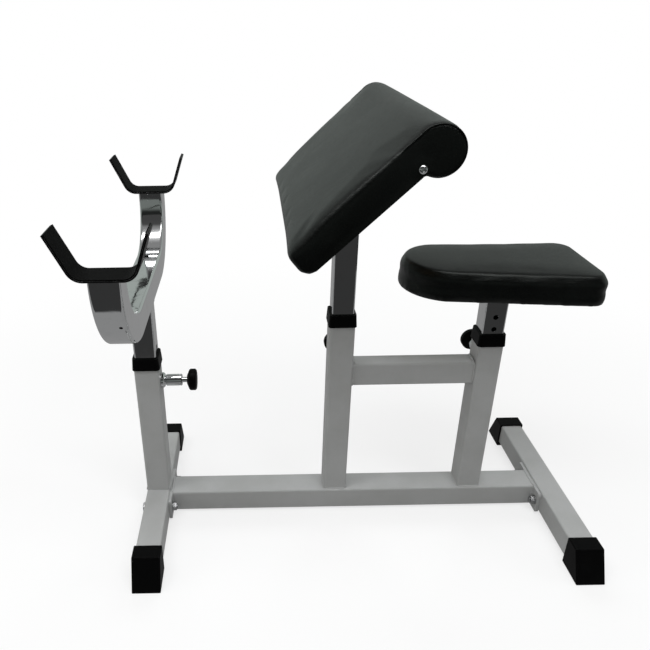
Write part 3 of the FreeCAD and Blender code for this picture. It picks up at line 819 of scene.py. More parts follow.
def fold_hem(shape: bmesh.types.BMesh, width: float, thickness: float, cuts: int = 0) -> bmesh.types.BMesh:
    """Makes a flat face a hem: the ring along its outline, with a thickness.

    Args:
        shape: The flat face.
        width: Width of the ring.
        thickness: How far the ring rises.
        cuts: Cuts across each edge of the ring.

    Returns:
        The same bmesh.
    """
    ring = bmesh.ops.inset_region(
        shape, faces=shape.faces, thickness=width, use_boundary=True, use_even_offset=True
    )["faces"]
    inner = [face for face in shape.faces if face not in ring]
    bmesh.ops.delete(shape, geom=inner, context="FACES")
    if cuts:
        bmesh.ops.subdivide_edges(shape, edges=shape.edges, cuts=cuts, use_grid_fill=True)
    made = bmesh.ops.extrude_face_region(shape, geom=shape.faces)["geom"]
    bmesh.ops.translate(shape, verts=only(made, bmesh.types.BMVert), vec=(0, 0, thickness))
    return shape


def above(height: float) -> Chooser:
    """Chooses the points above a height."""
    return lambda point: point.z > height


def square(x: float, width: float, z: float) -> tuple[Vector, Vector]:
    """Lowest and highest corner of a level square on the bench's middle line."""
    half = width / 2
    return Vector((x - half, -half, z)), Vector((x + half, half, z))


@dataclass(frozen=True)
class WeldBead:
    """A rippled weld bead along a straight corner.

    Attributes:
        radius: The bead's radius.
        pitch: Length of half a ripple.
        ripple: How much thicker its crests are, as a share.
        tip: Its first ring, as a share of the radius.
        tip_run: Length of its tips, as a share of the pitch.
        tip_swell: How much the first tip grows.
        tip_close: How much the last tip shrinks.
        sides: Corners of its section.
        fewest: Its smallest number of steps.
    """

    radius: float = 0.0026
    pitch: float = 0.0022
    ripple: float = 0.14
    tip: float = 0.55
    tip_run: float = 0.4
    tip_swell: float = 1.6
    tip_close: float = 0.6
    sides: int = 8
    fewest: int = 4

    def along(self, start: Vector, end: Vector) -> bmesh.types.BMesh:
        """Bead between two points.

        Args:
            start: First end of the bead.
            end: Other end of the bead.

        Returns:
            The bead's closed mesh.
        """
        way = end - start
        steps = max(self.fewest, round(way.length / self.pitch))
        bead = Sweep(self.radius * self.tip, start, way, self.sides)
        bead.run(way / steps * self.tip_run, self.tip_swell)
        for index in range(steps - 1):
            bead.run(way / steps, 1.0 + self.ripple if index % 2 else 1.0 / (1.0 + self.ripple))
        bead.run(way / steps * self.tip_run, self.tip_close)
        return bead.closed()

    def around(
        self, low: Vector, high: Vector, axis: Axis, sides: Iterable[Side] = Side,
    ) -> list[bmesh.types.BMesh]:
        """Beads round the rectangle between two corners of one plane.

        Args:
            low: Lowest corner of the rectangle.
            high: Highest corner of the rectangle.
            axis: Axis square to the rectangle.
            sides: Which sides get a bead.

        Returns:
            The beads.
        """
        first, second = [place for place, other in enumerate(Axis) if other is not axis]
        beads = []
        for side in sides:
            number, at_high = side.value
            across, along = ((first, second), (second, first))[number]
            start, end = low.copy(), low.copy()
            start[across] = end[across] = (high if at_high else low)[across]
            end[along] = high[along]
            trim = (end - start).normalized() * self.radius
            beads.append(self.along(start + trim, end - trim))
        return beads


# Sub-assemblies


@dataclass
class BaseFrame:
    """Feet, beam, uprights and crossbar, with their welds, bolts and plastic ends.

    Attributes:
        upright: Width of the uprights' tube.
        uprights: Name, place along X and foot height of each upright.
        bead: The frame's usual weld.
        heavy_bead: The weld on top of the crossbar's ends.
    """

    upright: float = 0.050
    uprights: tuple[tuple[str, float, float], ...] = (
        ("rack", -0.413129, 0.060), ("arm", -0.018129, 0.055), ("seat", 0.281871, 0.055),
    )
    bead: WeldBead = WeldBead()
    heavy_bead: WeldBead = WeldBead(0.0042, 0.0046, 0.24)

    def build(self) -> None:
        """Adds the weld beads of the frame."""
        welds: dict[str, list[bmesh.types.BMesh]] = {}
        cheeks = (Side.FIRST_LOW, Side.FIRST_HIGH)
        for name, x, base in self.uprights:
            sides = cheeks if name == "rack" else Side
            welds[f"{name}_upright_weld"] = self.bead.around(*square(x, self.upright, base), Axis.Z, sides)
        low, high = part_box("upright_crossbar")
        seams = ((self.bead, (*cheeks, Side.SECOND_LOW)), (self.heavy_bead, (Side.SECOND_HIGH,)))
        for name, end, way in (("front", low.x, 1), ("rear", high.x, -1)):
            beads = welds[f"crossbar_{name}_weld"] = []
            for bead, sides in seams:
                x = end + way * (bead.radius - self.bead.radius / 2)
                beads += bead.around(Vector((x, *low.yz)), Vector((x, *high.yz)), Axis.X, sides)
        low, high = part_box("main_beam")
        for name, x in (("rack", low.x), ("seat", high.x)):
            corners = Vector((x, *low.yz)), Vector((x, *high.yz))
            welds[f"beam_{name}_weld"] = self.bead.around(*corners, Axis.X, (*cheeks, Side.SECOND_HIGH))
        for name, beads in welds.items():
            settle(name, join(beads), Body.FRAME, Slot.FRAME_PAINT)

    def dress(self) -> None:
        """Gives the frame's nodes their finishes."""
        coat((
            "rack_foot_tube", "seat_foot_tube", "rack_flange_plate", "seat_flange_plate", "main_beam",
            "rack_upright", "arm_upright", "seat_upright", "upright_crossbar",
        ), Slot.FRAME_PAINT)
        coat((
            "rack_foot_cap_left", "rack_foot_cap_right", "seat_foot_cap_left", "seat_foot_cap_right",
            "rack_collar", "arm_collar", "seat_collar",
        ), Slot.PLASTIC)
        coat(("flange_bolts", "flange_washers", "flange_nuts"), Slot.ZINC)


@dataclass
class PullPin:
    """One spring-loaded pull pin of the height adjustment."""

    name: str

    def dress(self) -> None:
        """Gives the pin's nodes their finishes."""
        coat((f"{self.name}_pin_{part}" for part in ("nut", "barrel", "plunger")), Slot.CHROME)
        coat((f"{self.name}_pin_spring",), Slot.ZINC)
        coat((f"{self.name}_pin_knob",), Slot.PLASTIC)


@dataclass
class BarRack:
    """Chromed rack post and yoke with two lined bar hooks."""

    x: float = -0.413129
    post: float = 0.044
    yoke_base: float = 0.502
    bead: WeldBead = WeldBead(0.0022, 0.002, 0.1)

    def build(self) -> None:
        """Adds the plated weld between yoke and post."""
        beads = self.bead.around(*square(self.x, self.post, self.yoke_base), Axis.Z)
        settle("yoke_weld", join(beads), Body.RACK, Slot.CHROME)

    def dress(self) -> None:
        """Gives the rack's nodes their finishes."""
        coat(("rack_post", "bar_yoke"), Slot.CHROME)
        coat(("rack_post_glide",), Slot.PLASTIC)
        coat(("left_bar_hook", "right_bar_hook"), Slot.BLACK_PAINT)
        coat(("left_hook_liner", "right_hook_liner"), Slot.RUBBER)


@dataclass
class Upholstery:
    """A foam pad's vinyl cover, swollen by cloth simulation over its board.

    Attributes:
        name: Name of the new cover.
        node: The CAD cushion it stands for.
        body: The body that carries it.
        origin: Place of the pad's own frame, on its board's underside.
        lean: Degrees about Y from the shared frame to the pad's own.
        ease: How far the skin is drawn in before it swells.
        pressure: Pressure inside the cover.
        voxel: Size of the remesh.
        most: The furthest that a point may move.
        stiffness: How hard the cover is to stretch.
        bending: How hard the cover is to bend.
        mass: Mass of a point of the cover.
        quality: Steps of the simulation in a frame.
        frames: Length of the simulation.
        rim: How far the cover's rim reaches below the board's underside.
        fill: How tight the pad is, from 0 to 1; not used.
    """

    name: str
    node: str
    body: Body
    origin: Vector
    lean: float
    ease: float
    pressure: float
    voxel: float = 0.005
    most: float = 0.003
    stiffness: float = 40.0
    bending: float = 20.0
    mass: float = 0.3
    quality: int = 5
    frames: int = 20
    rim: float = 0.0009
    fill: float = 0.85

    def seat_matrix(self) -> Matrix:
        """From the pad's own frame to the shared one."""
        return Matrix.Translation(self.origin) @ Matrix.Rotation(math.radians(self.lean), 4, "Y")

    def skin(self) -> bpy.types.Object:
        """A remeshed copy of the CAD cushion in the pad's own frame.

        Returns:
            The copy.
        """
        shape = bmesh.new()
        shape.from_mesh(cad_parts[self.node].data)
        bmesh.ops.remove_doubles(shape, verts=shape.verts, dist=0.00001)
        bmesh.ops.transform(shape, matrix=self.seat_matrix().inverted(), verts=shape.verts)
        mesh = mesh_from(self.name + "_core", shape)
        core = link(self.name, mesh)
        remesh = core.modifiers.new("even", "REMESH")
        remesh.mode = "VOXEL"
        remesh.voxel_size = self.voxel
        remesh.use_smooth_shade = True
        ready = bpy.data.meshes.new_from_object(core.evaluated_get(bpy.context.evaluated_depsgraph_get()))
        core.modifiers.clear()
        core.data = ready
        core.data.materials.clear()
        bpy.data.meshes.remove(mesh)
        return core

    def swell(self, core: bpy.types.Object, held: Field) -> None:
        """Draws the skin in, blows it up and keeps the result in the mesh.

        Args:
            core: The remeshed skin, in the pad's own frame.
            held: Says for points in the pad's own frame how firmly each is held, from 0 to 1.
        """
        rest = points_of(core.data)
        grip = held(rest)
        start = rest - points_of(core.data, Rows.NORMALS) * (self.ease * (1.0 - grip))[:, None]
        move_points(core.data, start)
        group = core.vertex_groups.new(name="held")
        for index, value in enumerate(grip):
            if value > 0.0:
                group.add([index], float(value), "REPLACE")
        cloth = core.modifiers.new("swell", "CLOTH")
        cloth.settings.quality = self.quality
        cloth.settings.mass = self.mass
        cloth.settings.tension_stiffness = cloth.settings.compression_stiffness = self.stiffness
        cloth.settings.shear_stiffness = self.stiffness
        cloth.settings.bending_stiffness = self.bending
        cloth.settings.use_pressure = True
        cloth.settings.uniform_pressure_force = self.pressure
        cloth.settings.effector_weights.gravity = 0.0
        cloth.settings.vertex_group_mass = group.name
        cloth.point_cache.frame_end = self.frames
        scene = bpy.context.scene
        for number in range(1, self.frames + 1):
            scene.frame_set(number)
        end = points_of(core.evaluated_get(bpy.context.evaluated_depsgraph_get()).to_mesh())
        scene.frame_set(1)
        core.modifiers.clear()
        core.vertex_groups.clear()
        move = end - start
        length = np.maximum(np.linalg.norm(move, axis=1), 1e-9)
        limit = np.minimum(1.0, self.most / length)
        move_points(core.data, start + move * limit[:, None])

    def relax(self, core: bpy.types.Object, passes: Sequence[Chooser]) -> None:
        """Smooths the skin, a pass at a time.

        Args:
            core: The skin, in the pad's own frame.
            passes: For each pass, says which points it smooths.
        """
        shape = bmesh.new()
        shape.from_mesh(core.data)
        for chosen in passes:
            verts = [vert for vert in shape.verts if chosen(vert.co)]
            bmesh.ops.smooth_vert(
                shape, verts=verts, factor=0.5, use_axis_x=True, use_axis_y=True, use_axis_z=True
            )
        shape.to_mesh(core.data)
        shape.free()

    def core(self, held: Field, passes: Sequence[Chooser], beside: Field) -> bpy.types.Object:
        """The swollen and smoothed skin, its lower rim drawn down round the board, flush with its hem.

        Args:
            held: How firmly points in the pad's own frame are held, from 0 to 1.
            passes: For each smoothing pass, says which points it smooths.
            beside: Says for points in the pad's own frame whether they are on the rim beside the board.

        Returns:
            The skin, in the pad's own frame.
        """
        core = self.skin()
        self.swell(core, held)
        self.relax(core, passes)
        points = points_of(core.data)
        points[:, 2] -= np.where(beside(points), points[:, 2] + self.rim, 0.0)
        move_points(core.data, points)
        return core

    def finish(self, core: bpy.types.Object) -> None:
        """Puts the skin in the CAD cushion's place.

        Args:
            core: The skin, in the pad's own frame.
        """
        core.data.transform(self.seat_matrix())
        core.data.name = self.name
        core.data.shade_smooth()
        core.data.materials.append(FINISHES[Slot.VINYL].material())
        finer = core.modifiers.new("finer", "SUBSURF")
        finer.levels = finer.render_levels = 1
        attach(core, self.body.value)
        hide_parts(self.node)
        log.info("piece %s stands for %s: %d faces", self.name, self.node, len(core.data.polygons))

    def put(self, name: str, shape: bmesh.types.BMesh, slot: Slot) -> bpy.types.Object:
        """Settles a shape of the pad's own frame on the pad's body."""
        bmesh.ops.transform(shape, matrix=self.seat_matrix(), verts=shape.verts)
        return settle(name, shape, self.body, slot)


@dataclass
class Staples:
    """Staples that hold a hem to a board's underside.

    Attributes:
        crown: Length of a staple's crown.
        wire: Thickness of its wire.
        bend: Radius of its shoulders, as a share of the wire.
        stand: How far the crown's middle stands off the hem, as a share of the wire.
        sides: Corners of the wire's section.
        bend_steps: Steps of each shoulder.
    """

    crown: float = 0.010
    wire: float = 0.0012
    bend: float = 1.2
    stand: float = 0.45
    sides: int = 6
    bend_steps: int = 3

    def level(self, hem: float) -> float:
        """Height of the crowns' middle under a hem of that thickness."""
        return -hem - self.wire * self.stand

    def one(self, place: Vector, turn: float) -> bmesh.types.BMesh:
        """A staple's crown with bent shoulders, its length along X before the turn.

        Args:
            place: Middle of the crown.
            turn: Degrees about Z.

        Returns:
            The staple's mesh.
        """
        half, drop = self.crown / 2, self.wire * self.bend
        bar = Sweep(self.wire / 2, Vector((-half, 0, drop)), Vector((0, 0, -1)), self.sides)
        bar.turn(Vector((drop - half, 0, drop)), Axis.Y, -90.0, self.bend_steps)
        bar.run(Axis.X.value * (self.crown - 2 * drop))
        bar.turn(Vector((half - drop, 0, drop)), Axis.Y, -90.0, self.bend_steps)
        shape = bar.closed()
        bmesh.ops.rotate(shape, verts=shape.verts, matrix=Matrix.Rotation(math.radians(turn), 3, "Z"))
        bmesh.ops.translate(shape, verts=shape.verts, vec=place)
        return shape


@dataclass
class ArmRest:
    """Sloping arm pad with a rolled top, its board, plate and post."""

    x: float = -0.018129
    board_height: float = 0.7424
    slope: float = 43.1
    width: float = 0.540
    below: float = 0.1316
    roll_reach: float = 0.1276
    roll_rise: float = 0.011
    roll_radius: float = 0.0389
    roll_top_angle: float = 100.0
    thickness: float = 0.048
    low_round: float = 0.016
    top_round: float = 0.011
    board_low: float = -0.1076
    board_reach: float = 0.108
    board_half: float = 0.262
    board_thickness: float = 0.018
    rim_depth: float = 0.0035
    screw_reach: float = 0.0946
    screw_radius: float = 0.003
    screw_length: float = 0.0375
    screw_proud: float = 0.0003
    screw_grip: float = 0.014
    screw_sides: int = 24
    screw_head: float = 0.0065
    screw_chamfer: float = 0.96
    screw_edge: float = 0.0006
    screw_rim: float = 0.0014
    screw_dome: float = 0.005
    dome_angle: float = 60.0
    dome_steps: int = 8
    screw_socket: float = 0.0028
    socket_rim: float = 1.06
    socket_lip: float = 0.0004
    socket_depth: float = 0.0022
    socket_cone: float = 0.0006
    socket_tip: float = 0.2
    welt: float = 0.0013
    welt_place: float = 0.2676
    welt_inset: float = 0.0032
    welt_start: float = 0.84
    welt_tip: float = 0.3
    welt_lead: float = 0.012
    welt_share: float = 0.88
    seam_inner: float = 1.5
    seam_outer: float = 0.4
    crown: float = 0.0017
    soft_reach: float = 0.010
    soft_spread: float = 0.0022
    soft_start: float = 0.07
    soft_passes: int = 12
    soft_step: float = 0.013
    soft_hold: int = 4
    soft_fade: float = 0.003
    soft_margin: float = 0.01
    gather_reach: float = 0.022
    gather_depth: float = 0.0008
    gather_start: float = 0.8
    gather_middle: float = 0.9
    gather_span: float = 1.4
    gather_waves: float = 17.0
    gather_drift: float = 1.3
    gather_drift_waves: float = 5.0
    hem: float = 0.022
    hem_thickness: float = 0.0009
    hem_start: float = 0.003
    hem_gap: float = 0.007
    hem_cuts: int = 12
    staple_pitch: float = 0.028
    staple_margin: float = 0.06
    staple_skew: float = 14.0
    staple_share: float = 0.55
    staple_side_share: float = 0.5

    def pad(self) -> Upholstery:
        """The pad's upholstery."""
        place = Vector((self.x, 0.0, self.board_height))
        return Upholstery("arm_pad_cover", "arm_pad_cushion", Body.ARM_REST, place, -self.slope, 0.0008, 1.6)

    def held(self, points: np.ndarray) -> np.ndarray:
        """How firmly each point of the skin is held: at the board, the hem, the seams and the screws.

        Args:
            points: Points in the pad's own frame.

        Returns:
            A share from 0 to 1 for each point.
        """
        x, y, z = points.T
        board = (x > self.board_low - GRIP) & (x < self.board_reach + GRIP)
        board &= np.abs(y) < self.board_half + GRIP
        board &= (z < self.board_thickness + GRIP) & (z > -GRIP)
        hem = (z < GRIP) & (x < self.roll_reach - self.roll_radius)
        seam = np.abs(y) > self.welt_place - GRIP * self.seam_inner
        seam &= (np.abs(y) < self.welt_place + GRIP * self.seam_outer) & (x > self.soft_start)
        screw = np.hypot(x - self.screw_reach, z - self.board_thickness / 2) < self.screw_grip
        screw &= np.abs(y) > self.board_half
        return (board | hem | seam | screw).astype(float)

    def beside(self, points: np.ndarray) -> np.ndarray:
        """Which points are on the rim beside the board.

        Args:
            points: Points in the pad's own frame.

        Returns:
            True or false for each point.
        """
        x, y, z = points.T
        clear = (np.abs(y) > self.board_half - RIM_SLACK) | (x < self.board_low + RIM_SLACK)
        return clear & (np.abs(z) < self.rim_depth) & (x < self.roll_reach - self.roll_radius)

    def shoulder(self, step: int) -> Chooser:
        """Chooses the points of one smoothing pass over the long shoulders.

        Args:
            step: Number of the pass; later ones reach further in and keep further from the roll.

        Returns:
            The chooser.
        """
        limit = self.soft_start - step * self.soft_step
        reach = self.soft_reach + step * self.soft_spread
        low = max(0, step - self.soft_hold) * self.soft_fade - self.below - self.soft_margin

        def chosen(point: Vector) -> bool:
            """Whether a point is on a shoulder, within the pass's reach."""
            on_side = abs(point.y) > self.width / 2 - reach
            return on_side and low < point.x < limit and point.z > self.board_thickness + FREE_RISE
        return chosen

    def passes(self) -> list[Chooser]:
        """Smoothing passes: the free skin, then its long shoulders, softer towards the low end."""
        shoulders = [self.shoulder(step) for step in range(self.soft_passes)]
        return [above(self.board_thickness + FREE_RISE), *shoulders]

    def gather(self, core: bpy.types.Object) -> None:
        """Presses small gathers into the cover where it turns over the roll's ends.

        Args:
            core: The skin, in the pad's own frame.
        """
        for vert in core.data.vertices:
            out = Vector((vert.co.x - self.roll_reach, 0.0, vert.co.z - self.roll_rise))
            edge = (abs(vert.co.y) - self.width / 2) / self.gather_reach + 1.0
            angle = math.atan2(out.z, out.x)
            inside = out.length < self.roll_radius * self.gather_start
            if edge <= 0.0 or inside or abs(angle - self.gather_middle) > self.gather_span:
                continue
            drift = self.gather_drift * math.sin(self.gather_drift_waves * angle)
            wave = 0.5 + 0.5 * math.sin(self.gather_waves * angle + drift)
            vert.co -= out.normalized() * (self.gather_depth * min(edge, 1.0) * wave)

    def welt_line(self, side: int) -> bmesh.types.BMesh:
        """Sewn welt of one end panel, rising out of the upper shoulder and going round the roll.

        Args:
            side: -1 for the left end, 1 for the right.

        Returns:
            The welt's mesh in the pad's own frame.
        """
        y = side * self.welt_place
        inset = self.welt_inset
        radius = self.roll_radius - inset
        roll = Vector((self.roll_reach, y, self.roll_rise))
        angle = math.radians(self.roll_top_angle)
        start = Vector((inset - self.below + self.top_round, y, self.thickness - inset))
        end = roll + Vector((math.cos(angle), 0, math.sin(angle))) * radius
        chord = end - start
        arc = chord.length ** 2 / (8 * self.crown) + self.crown / 2
        down = Vector((chord.z, 0, -chord.x)).normalized()
        centre = (start + end) / 2 + down * (arc - self.crown)
        sweep = math.degrees(2 * math.asin(chord.length / 2 / arc))
        turn = Matrix.Rotation(math.radians(sweep * self.welt_start), 3, "Y")
        first = centre + turn @ (start - centre)
        line = Sweep(self.welt * self.welt_tip, first + down * self.welt, chord, sides=10)
        line.run(chord.normalized() * self.welt_lead - down * self.welt, 1.0 / self.welt_tip)
        line.turn(centre, Axis.Y, sweep * (1.0 - self.welt_start) * self.welt_share, steps=12)
        line.run(end - line.middle())
        heel = math.degrees(math.asin(self.roll_rise / radius))
        line.turn(roll, Axis.Y, self.roll_top_angle + 180.0 - heel, steps=40)
        return line.closed()

    def side_screw(self, side: int) -> bmesh.types.BMesh:
        """Domed socket screw through one end of the pad into its board.

        Args:
            side: -1 for the left end, 1 for the right.

        Returns:
            The screw's mesh in the pad's own frame.
        """
        out = Axis.Y.value * side
        y = side * (self.width / 2 + self.screw_proud)
        start = Vector((self.screw_reach, y, self.board_thickness / 2))
        screw = Sweep(self.screw_radius, start - out * self.screw_length, out, self.screw_sides)
        screw.run(out * self.screw_length)
        screw.run(out * 0.0, self.screw_head * self.screw_chamfer / self.screw_radius)
        screw.run(out * self.screw_edge, 1 / self.screw_chamfer)
        screw.run(out * (self.screw_rim - self.screw_edge))
        height, radius = self.screw_rim, self.screw_head
        span = math.radians(self.dome_angle)
        for step in range(1, self.dome_steps + 1):
            angle = span * step / self.dome_steps
            level = self.screw_rim + (self.screw_dome - self.screw_rim) * math.sin(angle) / math.sin(span)
            reach = self.screw_socket + (self.screw_head - self.screw_socket) * (2 * math.cos(angle) - 1)
            reach = max(reach, self.screw_socket * self.socket_rim)
            screw.run(out * (level - height), reach / radius)
            height, radius = level, reach
        screw.run(out * -self.socket_lip, self.screw_socket / radius)
        half_flat = math.radians(30.0)
        for vert in screw.ring:
            spoke = vert.co - screw.middle()
            turn = math.atan2(spoke.z, spoke.x) % (2 * half_flat) - half_flat
            vert.co = screw.middle() + spoke * (math.cos(half_flat) / math.cos(turn))
        screw.run(out * -self.socket_depth).run(out * -self.socket_cone, self.socket_tip)
        return screw.closed()

    def hem_span(self) -> Span:
        """Low and high end of the hem along the slope."""
        return self.low_round - self.below + self.hem_start, self.roll_reach - self.roll_radius

    def hem_ring(self) -> bmesh.types.BMesh:
        """Folded hem of the cover on the board's underside.

        Returns:
            The hem's mesh in the pad's own frame.
        """
        shape = bmesh.new()
        bmesh.ops.create_grid(shape, x_segments=1, y_segments=1, size=0.5)
        low, high = self.hem_span()
        size = Vector((high - low, self.width - 2 * self.hem_gap, 1.0))
        bmesh.ops.scale(shape, verts=shape.verts, vec=size)
        bmesh.ops.translate(shape, verts=shape.verts, vec=((low + high) / 2, 0, -self.hem_thickness))
        return fold_hem(shape, self.hem, self.hem_thickness, self.hem_cuts)

    def staples(self) -> bmesh.types.BMesh:
        """Rows of staples along the hem's four sides.

        Returns:
            The staples' mesh in the pad's own frame.
        """
        maker = Staples()
        low, high = self.hem_span()
        z = maker.level(self.hem_thickness)
        row = []
        count = int((self.width - self.staple_margin) / self.staple_pitch)
        for index in range(count + 1):
            y = (index - count / 2) * self.staple_pitch
            for x in (low + self.hem * self.staple_share, high - self.hem * self.staple_share):
                turn = 90.0 + self.staple_skew * math.sin(7.0 * index + x)
                row.append(maker.one(Vector((x, y, z)), turn))
        count = int((high - low - self.staple_margin) / self.staple_pitch)
        line = self.width / 2 - self.hem_gap - self.hem * self.staple_side_share
        for index in range(count + 1):
            x = (low + high) / 2 + (index - count / 2) * self.staple_pitch
            for side in (-1, 1):
                turn = self.staple_skew * math.sin(5.0 * index + side)
                row.append(maker.one(Vector((x, side * line, z)), turn))
        return join(row)

    def build(self) -> None:
        """Makes the cover with its gathers, welts, hem, screws and staples."""
        pad = self.pad()
        core = pad.core(self.held, self.passes(), self.beside)
        self.gather(core)
        pad.finish(core)
        for name, side in (("left", -1), ("right", 1)):
            pad.put(f"arm_pad_welt_{name}", self.welt_line(side), Slot.VINYL)
        pad.put("arm_pad_hem", self.hem_ring(), Slot.VINYL)
        screws = pad.put("arm_pad_domed_screws", join([self.side_screw(-1), self.side_screw(1)]), Slot.CHROME)
        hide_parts("arm_pad_side_screws")
        pad.put("arm_pad_staples", self.staples(), Slot.ZINC)

    def dress(self) -> None:
        """Gives the arm rest's nodes their finishes."""
        coat(("arm_post",), Slot.CHROME)
        coat(("arm_post_glide",), Slot.PLASTIC)
        coat(("arm_pad_plate",), Slot.BLACK_PAINT)
        coat(("arm_pad_board",), Slot.BOARD)
        coat(("arm_pad_screws", "arm_pad_washers"), Slot.ZINC)


@dataclass
class Seat:
    """Seat pad, square at the back and round towards the arm pad, on its board, plate and post."""

    x: float = 0.281871
    board_height: float = 0.530
    rake: float = 1.6
    rear: float = 0.1705
    front: float = 0.1935
    rear_width: float = 0.210
    front_width: float = 0.176
    front_round: float = 0.0715
    corner: float = 0.028
    thickness: float = 0.051
    board_margin: float = 0.008
    board_thickness: float = 0.018
    rim_depth: float = 0.0045
    hem_grip: float = 1.5
    shoulder: float = 0.006
    fullness: float = 0.6
    hem_inset: float = 0.004
    hem: float = 0.019
    hem_thickness: float = 0.0009
    staple_pitch: float = 0.027
    staple_start: float = 0.012
    staple_share: float = 0.55
    staple_skew: float = 12.0
    rear_skew: float = 11.0
    side_staples: int = 10
    rear_staples: int = 5

    def pad(self) -> Upholstery:
        """The seat's upholstery."""
        place = Vector((self.x, 0.0, self.board_height))
        return Upholstery("seat_cover", "seat_cushion", Body.SEAT, place, self.rake, 0.0004, 2.0)

    def chord(self) -> float:
        """Place along the seat at which its rounded front begins."""
        return self.front_round - self.front

    def front_radius(self) -> float:
        """Radius of the seat's rounded front."""
        return (self.front_width ** 2 / 4 + self.front_round ** 2) / (2 * self.front_round)

    def half_width(self, x: np.ndarray) -> np.ndarray:
        """Half the seat's width at places along it, without its rounded ends."""
        share = (x - self.chord()) / (self.rear - self.chord())
        return (self.front_width + (self.rear_width - self.front_width) * share) / 2

    def held(self, points: np.ndarray) -> np.ndarray:
        """How firmly each point of the skin is held: at the board and along the hem.

        Args:
            points: Points in the seat's own frame.

        Returns:
            A share from 0 to 1 for each point.
        """
        x, y, z = points.T
        inside = np.abs(y) < self.half_width(x) - self.board_margin + GRIP
        inside &= (x < self.rear - self.board_margin + GRIP) & (x > self.board_margin - self.front - GRIP)
        board = inside & (z < self.board_thickness + GRIP)
        hem = z < GRIP * self.hem_grip
        return (board | hem).astype(float)

    def beside(self, points: np.ndarray) -> np.ndarray:
        """Which points are on the rim beside the board.

        Args:
            points: Points in the seat's own frame.

        Returns:
            True or false for each point.
        """
        x, y, z = points.T
        margin = self.board_margin + RIM_SLACK
        centre = self.front_radius() - self.front
        clear = (np.abs(y) > self.half_width(x) - margin) & (x >= self.chord())
        clear |= (np.hypot(x - centre, y) > self.front_radius() - margin) & (x < self.chord())
        clear |= x > self.rear - margin
        return clear & (np.abs(z) < self.rim_depth)

    def plump(self, core: bpy.types.Object) -> None:
        """Fills the top out towards its middle height, up to a firm shoulder.

        Args:
            core: The skin, in the seat's own frame.
        """
        top = max(vert.co.z for vert in core.data.vertices)
        start = self.thickness - self.shoulder
        for vert in core.data.vertices:
            if vert.co.z > start:
                share = min(1.0, (vert.co.z - start) / self.shoulder)
                vert.co.z += (top - vert.co.z) * self.fullness * share * share * (3 - 2 * share)

    def hem_ring(self) -> bmesh.types.BMesh:
        """Folded hem of the cover on the board's underside.

        Returns:
            The hem's mesh in the seat's own frame.
        """
        radius, chord = self.front_radius(), self.chord()
        shape = bmesh.new()
        bmesh.ops.create_circle(
            shape, cap_ends=True, segments=72, radius=radius - self.hem_inset,
            matrix=Matrix.Translation((radius - self.front, 0, -self.hem_thickness)),
        )
        geometry = [*shape.verts, *shape.edges, *shape.faces]
        bmesh.ops.bisect_plane(
            shape, geom=geometry, plane_co=(chord, 0, 0), plane_no=(1, 0, 0), clear_outer=True
        )
        edge = [item for item in shape.edges if all(abs(vert.co.x - chord) < 1e-6 for vert in item.verts)]
        rear = only(bmesh.ops.extrude_edge_only(shape, edges=edge)["geom"], bmesh.types.BMVert)
        bmesh.ops.translate(shape, verts=rear, vec=(self.rear - self.hem_inset - chord, 0, 0))
        widen = (self.rear_width / 2 - self.hem_inset) / abs(rear[0].co.y)
        bmesh.ops.scale(shape, verts=rear, vec=(1, widen, 1))
        bmesh.ops.dissolve_edges(shape, edges=edge, use_verts=False)
        bmesh.ops.bevel(
            shape, geom=rear, offset=self.corner - self.hem_inset, segments=8, profile=0.5,
            affect="VERTICES", material=-1,
        )
        return fold_hem(shape, self.hem, self.hem_thickness)

    def staples(self) -> bmesh.types.BMesh:
        """Rows of staples along the hem's sides and back.

        Returns:
            The staples' mesh in the seat's own frame.
        """
        maker = Staples()
        z = maker.level(self.hem_thickness)
        inset = self.hem_inset + self.hem * self.staple_share
        row = []
        for index in range(self.side_staples):
            x = self.chord() + self.staple_start + index * self.staple_pitch
            y = float(self.half_width(np.array(x))) - inset
            for side in (-1, 1):
                turn = self.staple_skew * math.sin(6.0 * index + side)
                row.append(maker.one(Vector((x, side * y, z)), turn))
        for index in range(-(self.rear_staples // 2), self.rear_staples // 2 + 1):
            place = Vector((self.rear - inset, index * self.staple_pitch, z))
            row.append(maker.one(place, 90.0 + self.rear_skew * math.sin(4.0 * index)))
        return join(row)

    def build(self) -> None:
        """Makes the seat's cover, hem and staples."""
        pad = self.pad()
        core = pad.core(self.held, [above(self.board_thickness + FREE_RISE)], self.beside)
        self.plump(core)
        pad.finish(core)
        pad.put("seat_hem", self.hem_ring(), Slot.VINYL)
        pad.put("seat_staples", self.staples(), Slot.ZINC)

    def dress(self) -> None:
        """Gives the seat's nodes their finishes."""
        coat(("seat_post",), Slot.CHROME)
        coat(("seat_post_glide",), Slot.PLASTIC)
        coat(("seat_plate",), Slot.BLACK_PAINT)
        coat(("seat_board",), Slot.BOARD)
        coat(("seat_screws", "seat_washers"), Slot.ZINC)


# Studio


@dataclass(frozen=True)
class SoftBox:
    """A soft box that lights the bench and doesn't show in its gloss.

    Attributes:
        name: Its name.
        place: Where it hangs.
        aim: Height of the point on the bench's middle that it faces.
        size: Its width and height.
        power: Its power in watts.
        colour: Its light.
    """

    name: str
    place: Triple
    aim: float
    size: Span
    power: float
    colour: Colour = WHITE

    def build(self) -> None:
        """Hangs the soft box."""
        light = bpy.data.lights.new(self.name, "AREA")
        light.shape = "RECTANGLE"
        light.size, light.size_y = self.size
        light.energy = self.power
        light.color = self.colour
        box = link(self.name, light)
        box.visible_glossy = False
        way = Vector((0.0, 0.0, self.aim)) - Vector(self.place)
        box.matrix_world = Matrix.Translation(self.place) @ way.to_track_quat("-Z", "Y").to_matrix().to_4x4()


